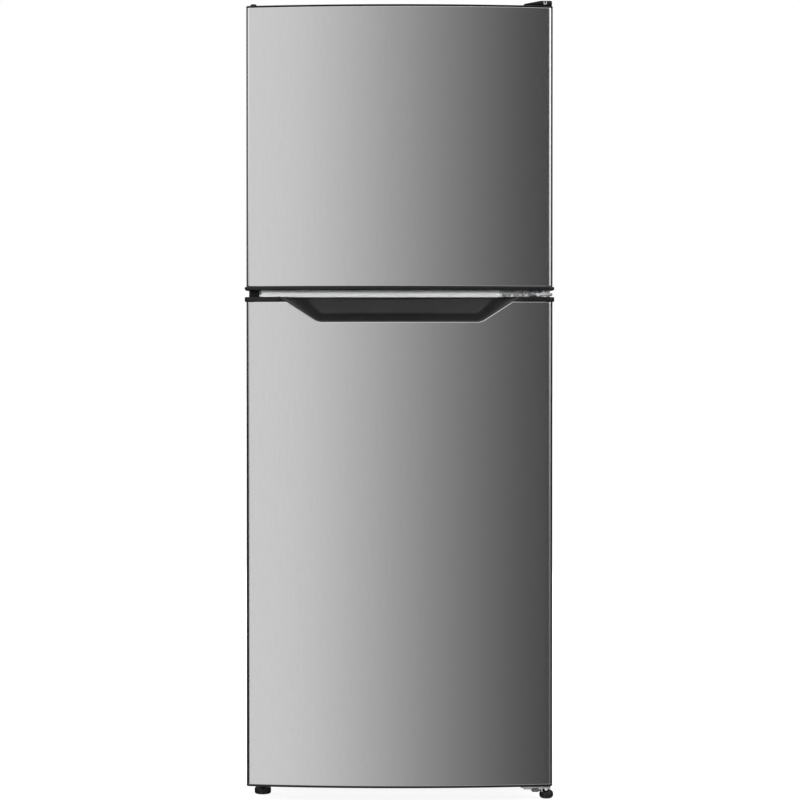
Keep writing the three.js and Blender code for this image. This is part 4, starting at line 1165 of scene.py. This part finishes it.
def relay_box():
    """The starter's box, with louvres in its cover and three wires to the mains lead's gland."""
    low, high = corners("starter_relay_box")
    parts = [
        block(tuple(low), tuple(high), 2.5, 4),
        block((low.x + 4, high.y - 1, low.z + 8), (high.x - 4, high.y + 1.2, high.z - 8), 1),
    ]
    for step in range(4):
        z = low.z + 14 + step * 7
        parts.append(block((low.x + 8, high.y + 0.6, z), (high.x - 8, high.y + 2.2, z + 2.4), 0.7))
    parts.append(block((high.x - 1, low.y + 12, high.z - 16), (high.x + 2.6, low.y + 24, high.z - 6), 1))
    build("starter_relay_cover", parts, BLACK, "starter_relay_box")
    gland = corners("power_cord_gland")[0].x + 4
    start = Vector((high.x - 8, high.y - 12, low.z + 2))
    wires = ((WIRE_BLACK, 0.0, "black"), (WIRE_BROWN, 4.5, "brown"), (WIRE_BLUE, 9.0, "blue"))
    for look, shift, colour in wires:
        route = [
            start - Vector((shift, 0, 0)),
            start + Vector((-shift, 2, -22)),
            start + Vector((22, 4 + shift, -62 + shift)),
            Vector((90, 236 + shift, 42 + shift * 0.4)),
            Vector((160, 244 + shift, 40 + shift * 0.4)),
            Vector((gland, 256, 60 - shift)),
        ]
        build("relay_wire_" + colour, [tube(smooth_path(route, 8), 1.6, 8)], look)


def bay_pipes():
    """Refrigerant lines, filter drier, capillary coil, drain pan and hose, and the lead's gland."""
    for node in ("suction_line", "discharge_line"):
        refine(node, COPPER, 0.2)
    refine("power_cord_gland", BLACK, 0.8, 3)
    x, y = DRIER_PLACE
    drier = [(0, 60), (2.2, 60), (2.6, 66), (4, 70), (9.2, 78), (9.5, 80), (9.5, 150), (9.2, 152), (4, 160),
             (2.6, 164), (2.2, 170), (0, 170)]
    build("filter_drier", [lathe(drier, DRIER_PLACE, "z", 32)], COPPER)
    coil = [(x, y, 168), (x + 7, y, 176)]
    steps = 24
    for step in range(3 * steps + 1):
        angle = 2 * math.pi * step / steps
        coil.append((x + 20 * math.cos(angle), y + 20 * math.sin(angle), 184 + step * 0.14))
    coil += [(x + 17, y + 10, 205), (x + 17, y + 10, 286)]
    build("capillary_coil", [tube(smooth_path(coil, 2), 1.3, 8)], COPPER)
    pan = tub(*corners("drain_pan"), 16, 2.4, 2.4, 3, 4)
    build("drain_pan_moulding", [pan], BLACK, "drain_pan", angle=40)
    hose = smooth_path([(-60, 128, 284), (-60, 132, 262), (-66, 150, 248), (-72, 160, 232)], 10)
    build("drain_hose", [tube(hose, 6, 18)], RUBBER)


# ---------------------------------------------------------------- freezer inside
def evaporator():
    """A block of fins between two end plates, with a tube that winds up through it."""
    low, high = corners("evaporator")
    fins = [block((x - 0.25, low.y + 1, low.z + 4), (x + 0.25, high.y - 1, high.z - 4), 0.1, 1)
            for x in spaced(low.x + 8, high.x - 8, 58)]
    fins += [block((x, low.y, low.z), (x + 1.2, high.y, high.z), 0.4) for x in (low.x, high.x - 1.2)]
    build("evaporator_fins", fins, ALUMINIUM, "evaporator", angle=35)
    path = []
    middle = middle_of("evaporator")[1]
    heights = spaced(low.z + 16, high.z - 16, 6)
    bend = (heights[1] - heights[0]) / 2
    for row, z in enumerate(heights):
        way = 1 if row % 2 == 0 else -1
        path += [(x * way, middle, z) for x in (-158, -80, 80, 158)]
        path.append((way * 167, middle, z + bend))
    path.pop()
    build("evaporator_tube", [tube(smooth_path(path, 6), 4, 12)], ALUMINIUM)


def evaporator_cover():
    """The freezer's rear cover: four rings round the fan's opening, ribs, and a screw at each corner."""
    refine("evaporator_cover", WHITE, 0.6)
    low, high = corners("evaporator_cover")
    face = low.y
    section = ((-1.3, 0.4), (-1.1, -1.6), (0, -2.2), (1.1, -1.6), (1.3, 0.4))
    parts = []
    for radius in (20, 31, 42, 53):
        rings = [[((radius + out) * cosine, face + proud, FAN_HEIGHT + (radius + out) * sine)
                  for out, proud in section] for cosine, sine in directions(64)]
        parts.append(loft(rings, loop=True))
    for row in range(3):
        z = 1005 + row * 16
        parts.append(block((-150, face - 1.8, z - 2), (150, face + 0.3, z), 0.7))
    for x in (-205, 205):
        parts.append(block((x - 5, face - 1.6, low.z + 20), (x + 5, face + 0.3, high.z - 20), 0.8, 3))
    build("evaporator_cover_mouldings", parts, WHITE, angle=35)
    screws = [screw_head((x, face, z), (0, -1, 0), 4.2, 2.0)
              for x in (-188, 188) for z in (low.z + 30, high.z - 30)]
    build("evaporator_cover_screws", screws, SCREW, angle=35)


def fan():
    """The evaporator's fan with its hub, and its motor."""
    refine("evaporator_fan", BLACK, 0.4, body="evaporator_fan")
    refine("fan_motor", GALVANISED, 0.6)
    front = corners("evaporator_fan")[0].y
    hub = [(0, front - 0.4), (8, front - 0.4), (10.5, front + 0.4), (11.4, front + 2), (11.4, front + 6),
           (0, front + 6)]
    build("evaporator_fan_hub", [lathe(hub, (0, FAN_HEIGHT), "y", 36)], BLACK, body="evaporator_fan")


def dial(node, name, ticks):
    """A turning knob with a ribbed skirt, a grip bar and a pointer, among marks that grow."""
    low, high = corners(node)
    x, _, z = middle_of(node)
    radius = (high.x - low.x) / 2
    back = high.y
    front = low.y
    profile = [(0.01, back), (radius - 0.6, back), (radius, back - 0.6), (radius, back - 3),
               (radius - 0.5, back - 4), (radius - 2, back - 4.6), (0.01, back - 4.6)]
    rings = []
    for reach, y in profile:
        ring = []
        for side, (cosine, sine) in enumerate(directions(96)):
            ribbed = reach - (0.35 if side % 4 < 2 and reach > radius - 1.5 else 0.0)
            ring.append((x + ribbed * cosine, y, z + ribbed * sine))
        rings.append(ring)
    grip = block((x - 3.3, front, z - radius + 3.4), (x + 3.3, back - 3, z + radius - 3.4), 1.8, 4)
    build(name, [loft(rings), grip], WHITE, node, body=node, angle=35)
    pointer = block((x - 0.7, front - 0.15, z + radius - 9), (x + 0.7, front + 0.5, z + radius - 4.4), 0.3)
    build(name + "_pointer", [pointer], BLACK, body=node)
    marks = []
    for tick in range(ticks):
        share = tick / (ticks - 1)
        angle = math.radians(225 - 270 * share)
        centre = Vector((x, back + 0.35, z)) + Vector((math.cos(angle), 0, math.sin(angle))) * (radius + 5)
        half = 0.4 + 0.6 * share
        flat = oriented(block((-half, -2, -0.3), (half, 2, 0.3), 0.2), (0, 0, 0), (0, -1, 0))
        spin = Matrix.Rotation(math.pi / 2 - angle, 3, "Y")
        marks.append(([tuple(spin @ Vector(point) + centre) for point in flat[0]], flat[1]))
    build(name + "_marks", marks, BLACK)


def wire_shelf():
    """The freezer's shelf: thin rods from front to back on a frame of thicker ones."""
    low, high = corners("freezer_shelf")
    middle = (low.z + high.z) / 2
    top = middle + 0.8
    under = middle - 0.4
    rods = [tube([(x, low.y + 2, top), (x, high.y - 2, top)], 1.6, 10)
            for x in spaced(low.x + 8, high.x - 8, 25)]
    rods += [tube([(low.x + 2, y, under), (high.x - 2, y, under)], 2.0, 12)
             for y in (low.y + 2.5, low.y + 80, high.y - 80, high.y - 2.5)]
    rods += [tube([(x, low.y + 2, under), (x, high.y - 2, under)], 2.0, 12) for x in (low.x + 2, high.x - 2)]
    build("freezer_wire_shelf", rods, WHITE, "freezer_shelf", angle=50)


# ---------------------------------------------------------------- fridge inside
def pane_shelf(node, trim_front=12.0, trim_back=9.0):
    """A glass pane held between a front trim and a rear trim."""
    low, high = corners(node)
    pane = slab(rounded_rectangle((low.x + 1, low.y + 4), (high.x - 1, high.y - 3), 4, 4),
                high.z - 4.6, high.z - 0.6, 0.6)
    build(node + "_pane", [pane], GLASS, node)
    trims = [
        block((low.x, low.y, low.z), (high.x, low.y + trim_front, high.z), 1.8, 4),
        block((low.x, high.y - trim_back, low.z), (high.x, high.y, high.z), 1.4, 3),
    ]
    build(node + "_trims", trims, WHITE)


def crisper():
    """The drawer with a grip and ribs across its face, and its glass cover."""
    pane_shelf("crisper_cover", 9, 8)
    low, high = corners("crisper_drawer")
    parts = [tub(low, high, 14, 2.4, 3.0, 4.0, 8.0)]
    face = low.y
    parts.append(block((-62, face - 3, high.z - 24), (62, face + 4, high.z - 17), 1.4, 4))
    for x in range(-160, 161, 40):
        if abs(x) > 70:
            parts.append(block((x - 1.2, face + 1.6, low.z + 24), (x + 1.2, face + 3.6, high.z - 30), 0.6))
    build("crisper_drawer_moulding", parts, CLEAR, "crisper_drawer", body="crisper_drawer", angle=40)


def controls():
    """The housing under the fridge's ceiling, its light and both knobs."""
    refine("control_housing", WHITE, 1.6, 4)
    refine("light_lens", LENS, 0.8, 3)
    low, high = corners("light_lens")
    ribs = [block((x - 0.9, low.y - 0.8, low.z + 3), (x + 0.9, low.y + 0.4, high.z - 3), 0.5)
            for x in spaced(low.x + 6, high.x - 6, 14)]
    build("light_lens_ribs", ribs, LENS)
    dial("thermostat_knob", "thermostat_dial", 8)
    dial("freezer_knob", "freezer_dial", 6)


def air_duct():
    """The duct up the fridge's back wall, with louvres and edge beads."""
    refine("air_duct", WHITE, 1.4, 3)
    low, high = corners("air_duct")
    louvres = []
    for z in (760, 590):
        for step in range(4):
            top = z + 1.5 + step * 3
            louvres.append(block((-19, low.y - 1.2, top), (19, low.y + 3, top + 0.9), 0.3))
    for x in (low.x + 9, high.x - 9):
        louvres.append(block((x - 1.5, low.y - 1.0, low.z + 20), (x + 1.5, low.y + 0.4, high.z - 60), 0.8))
    build("air_duct_louvres", louvres, WHITE)


def cabinet():
    """Everything that stays behind the doors, and the foams' look."""
    panels()
    rear_panel()
    liners()
    mullion()
    top_hinge()
    middle_hinge()
    bottom_hinge()
    hole_covers()
    feet()
    rollers()
    compressor()
    relay_box()
    bay_pipes()
    evaporator()
    evaporator_cover()
    fan()
    wire_shelf()
    pane_shelf("upper_glass_shelf")
    pane_shelf("lower_glass_shelf")
    crisper()
    controls()
    air_duct()
    for node in ("insulation_foam", "freezer_door_foam", "fridge_door_foam"):
        dress(node, FOAM)


def dress(node, look):
    """Gives a CAD node that keeps its own shape a material."""
    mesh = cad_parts[node].data
    mesh.materials.clear()
    mesh.materials.append(look.material)


# ---------------------------------------------------------------- stage, light and camera
# Light level by bearing in degrees: 0 is the camera's side, positive towards the object's right.
# Above eye level the sides hold bright strips; below it they are dark.
HIGH_BAND = (
    (-180, 0.13), (-88, 0.10), (-80, 0.16), (-74, 1.5), (-50, 1.5), (-38, 0.99), (-28, 0.96), (-20, 1.02),
    (-14, 0.93), (-8, 0.755), (-2, 0.575), (4, 0.405), (9, 0.285), (14, 0.183), (19, 0.07), (24, 0.01),
    (31, 0.0), (35, 1.8), (67, 2.3), (74, 0.15), (84, 0.02), (180, 0.08),
)
LOW_BAND = (
    (-180, 0.01), (-66, 0.0), (-50, 0.05), (-38, 0.99), (-28, 0.96), (-20, 1.02),
    (-14, 0.93), (-8, 0.755), (-2, 0.575), (4, 0.405), (9, 0.285), (14, 0.19), (19, 0.10), (24, 0.055),
    (29, 0.055), (34, 0.16), (68, 0.20), (76, 0.02), (84, 0.0), (180, 0.01),
)
LIGHT_SCALE = 2.5
TOP_LIGHT = 1.5
FLOOR_LIGHT = 0.6


def grey(level):
    """A light level as a colour; the background's strength scales it up again."""
    return (*[level / LIGHT_SCALE] * 3, 1)


def ramp(tree, stops, source):
    """A ramp of light levels against bearing."""
    made = tree.nodes.new("ShaderNodeValToRGB")
    elements = made.color_ramp.elements
    elements.remove(elements[1])
    elements[0].position = (stops[0][0] + 180) / 360
    elements[0].color = grey(stops[0][1])
    for angle, level in stops[1:]:
        stop = elements.new((angle + 180) / 360)
        stop.color = grey(level)
    tree.links.new(source, made.inputs["Fac"])
    return made.outputs["Color"]


def blend(tree, first, second, height, start, end):
    """Goes from one light to another between two heights of the direction looked in."""
    share = tree.nodes.new("ShaderNodeMapRange")
    share.interpolation_type = "SMOOTHSTEP"
    share.inputs["From Min"].default_value = start
    share.inputs["From Max"].default_value = end
    tree.links.new(height, share.inputs["Value"])
    mix = tree.nodes.new("ShaderNodeMix")
    mix.data_type = "RGBA"
    tree.links.new(share.outputs["Result"], mix.inputs["Factor"])
    for socket, value in (("A", first), ("B", second)):
        if isinstance(value, float):
            mix.inputs[socket].default_value = grey(value)
        else:
            tree.links.new(value, mix.inputs[socket])
    return mix.outputs["Result"]


def environment():
    """Soft studio surroundings, brighter to the left, with strips at the sides and light from above.

    The level depends on the bearing and height looked in. The camera sees plain white instead.
    """
    world = bpy.data.worlds.new("studio")
    SCENE.world = world
    world.use_nodes = True
    tree = world.node_tree
    tree.nodes.clear()

    def node(kind, links=(), **values):
        made = tree.nodes.new(kind)
        for key, value in values.items():
            setattr(made, key, value)
        for source, into in links:
            tree.links.new(source, made.inputs[into])
        return made

    place = node("ShaderNodeTexCoord").outputs["Generated"]
    split = node("ShaderNodeSeparateXYZ", [(place, "Vector")])
    towards = node("ShaderNodeMath", [(split.outputs["Y"], 0)], operation="MULTIPLY")
    towards.inputs[1].default_value = -1
    bearing = node("ShaderNodeMath", [(split.outputs["X"], 0), (towards.outputs["Value"], 1)],
                   operation="ARCTAN2")
    share = node("ShaderNodeMapRange", [(bearing.outputs["Value"], "Value")])
    share.inputs["From Min"].default_value = -math.pi
    share.inputs["From Max"].default_value = math.pi
    height = split.outputs["Z"]
    high, low = [ramp(tree, band, share.outputs["Result"]) for band in (HIGH_BAND, LOW_BAND)]
    around = blend(tree, low, high, height, -0.02, 0.10)
    around = blend(tree, around, TOP_LIGHT, height, 0.5, 0.9)
    around = blend(tree, FLOOR_LIGHT, around, height, -0.75, -0.3)
    light = node("ShaderNodeBackground", [(around, "Color")])
    light.inputs["Strength"].default_value = LIGHT_SCALE
    white = node("ShaderNodeBackground")
    white.inputs["Color"].default_value = (1, 1, 1, 1)
    rays = node("ShaderNodeLightPath")
    choice = node("ShaderNodeMixShader", [
        (rays.outputs["Is Camera Ray"], "Fac"),
        (light.outputs["Background"], 1),
        (white.outputs["Background"], 2),
    ])
    node("ShaderNodeOutputWorld", [(choice.outputs["Shader"], "Surface")])


def lamp(name, place, target, size, power):
    """A soft lamp that lights matt surfaces without showing in the steel."""
    data = bpy.data.lights.new(name, "AREA")
    data.shape = "RECTANGLE"
    data.size = size[0]
    data.size_y = size[1]
    data.energy = power
    made = bpy.data.objects.new(name, data)
    SCENE.collection.objects.link(made)
    made.location = place
    made.rotation_euler = (Vector(target) - Vector(place)).to_track_quat("-Z", "Y").to_euler()
    made.visible_glossy = False
    made.visible_camera = False


def lamps():
    """One lamp in front, one at each side and one behind."""
    lamp("front_lamp", (0, -5.6, 1.15), (0, 0, 0.9), (1.6, 0.5), 210)
    for name, x in (("left_lamp", -3.6), ("right_lamp", 3.6)):
        lamp(name, (x, 1.2, 2.0), (0, 0, 0.7), (2, 2), 150)
    lamp("back_lamp", (0, 4.4, 1.8), (0, 0, 0.7), (2.4, 2), 170)


def floor():
    """A plain pale floor that lights itself, so that it stays white under the object."""
    look = Look("studio_floor", None, (0.2, 0.2, 0.2), 0.9,
                Emission_Color=(1, 1, 1, 1), Emission_Strength=0.86)
    look.tint(look.noise(400, 2.0), 0.01)
    mesh = bpy.data.meshes.new("studio_floor")
    radius = 60
    ring = [(radius * cosine, radius * sine, 0) for cosine, sine in directions(64)]
    mesh.from_pydata(ring, [], [tuple(range(64))])
    piece = bpy.data.objects.new("studio_floor", mesh)
    SCENE.collection.objects.link(piece)
    mesh.materials.append(look.material)
    piece.visible_glossy = False
    piece.visible_diffuse = False


# The camera, in metres: its distance from the object's front, and the width seen at that front.
CAMERA_DISTANCE = 4.2
CAMERA_HEIGHT = 0.771
AIM_HEIGHT = 0.7179
AIM_X = 0.0009
FIELD_WIDTH = 1.4248
OBJECT_FRONT = -0.275
SENSOR_WIDTH = 36


def camera():
    """The camera looks at the front from a little above the middle."""
    lens = bpy.data.cameras.new("camera")
    lens.sensor_width = SENSOR_WIDTH
    lens.lens = SENSOR_WIDTH * CAMERA_DISTANCE / FIELD_WIDTH
    made = bpy.data.objects.new("camera", lens)
    SCENE.collection.objects.link(made)
    made.location = (AIM_X, OBJECT_FRONT - CAMERA_DISTANCE, CAMERA_HEIGHT)
    aim = Vector((AIM_X, OBJECT_FRONT, AIM_HEIGHT)) - made.location
    made.rotation_euler = aim.to_track_quat("-Z", "Y").to_euler()
    SCENE.camera = made
    SCENE.view_settings.view_transform = "Standard"


camera()
environment()
lamps()
floor()
doors()
cabinet()
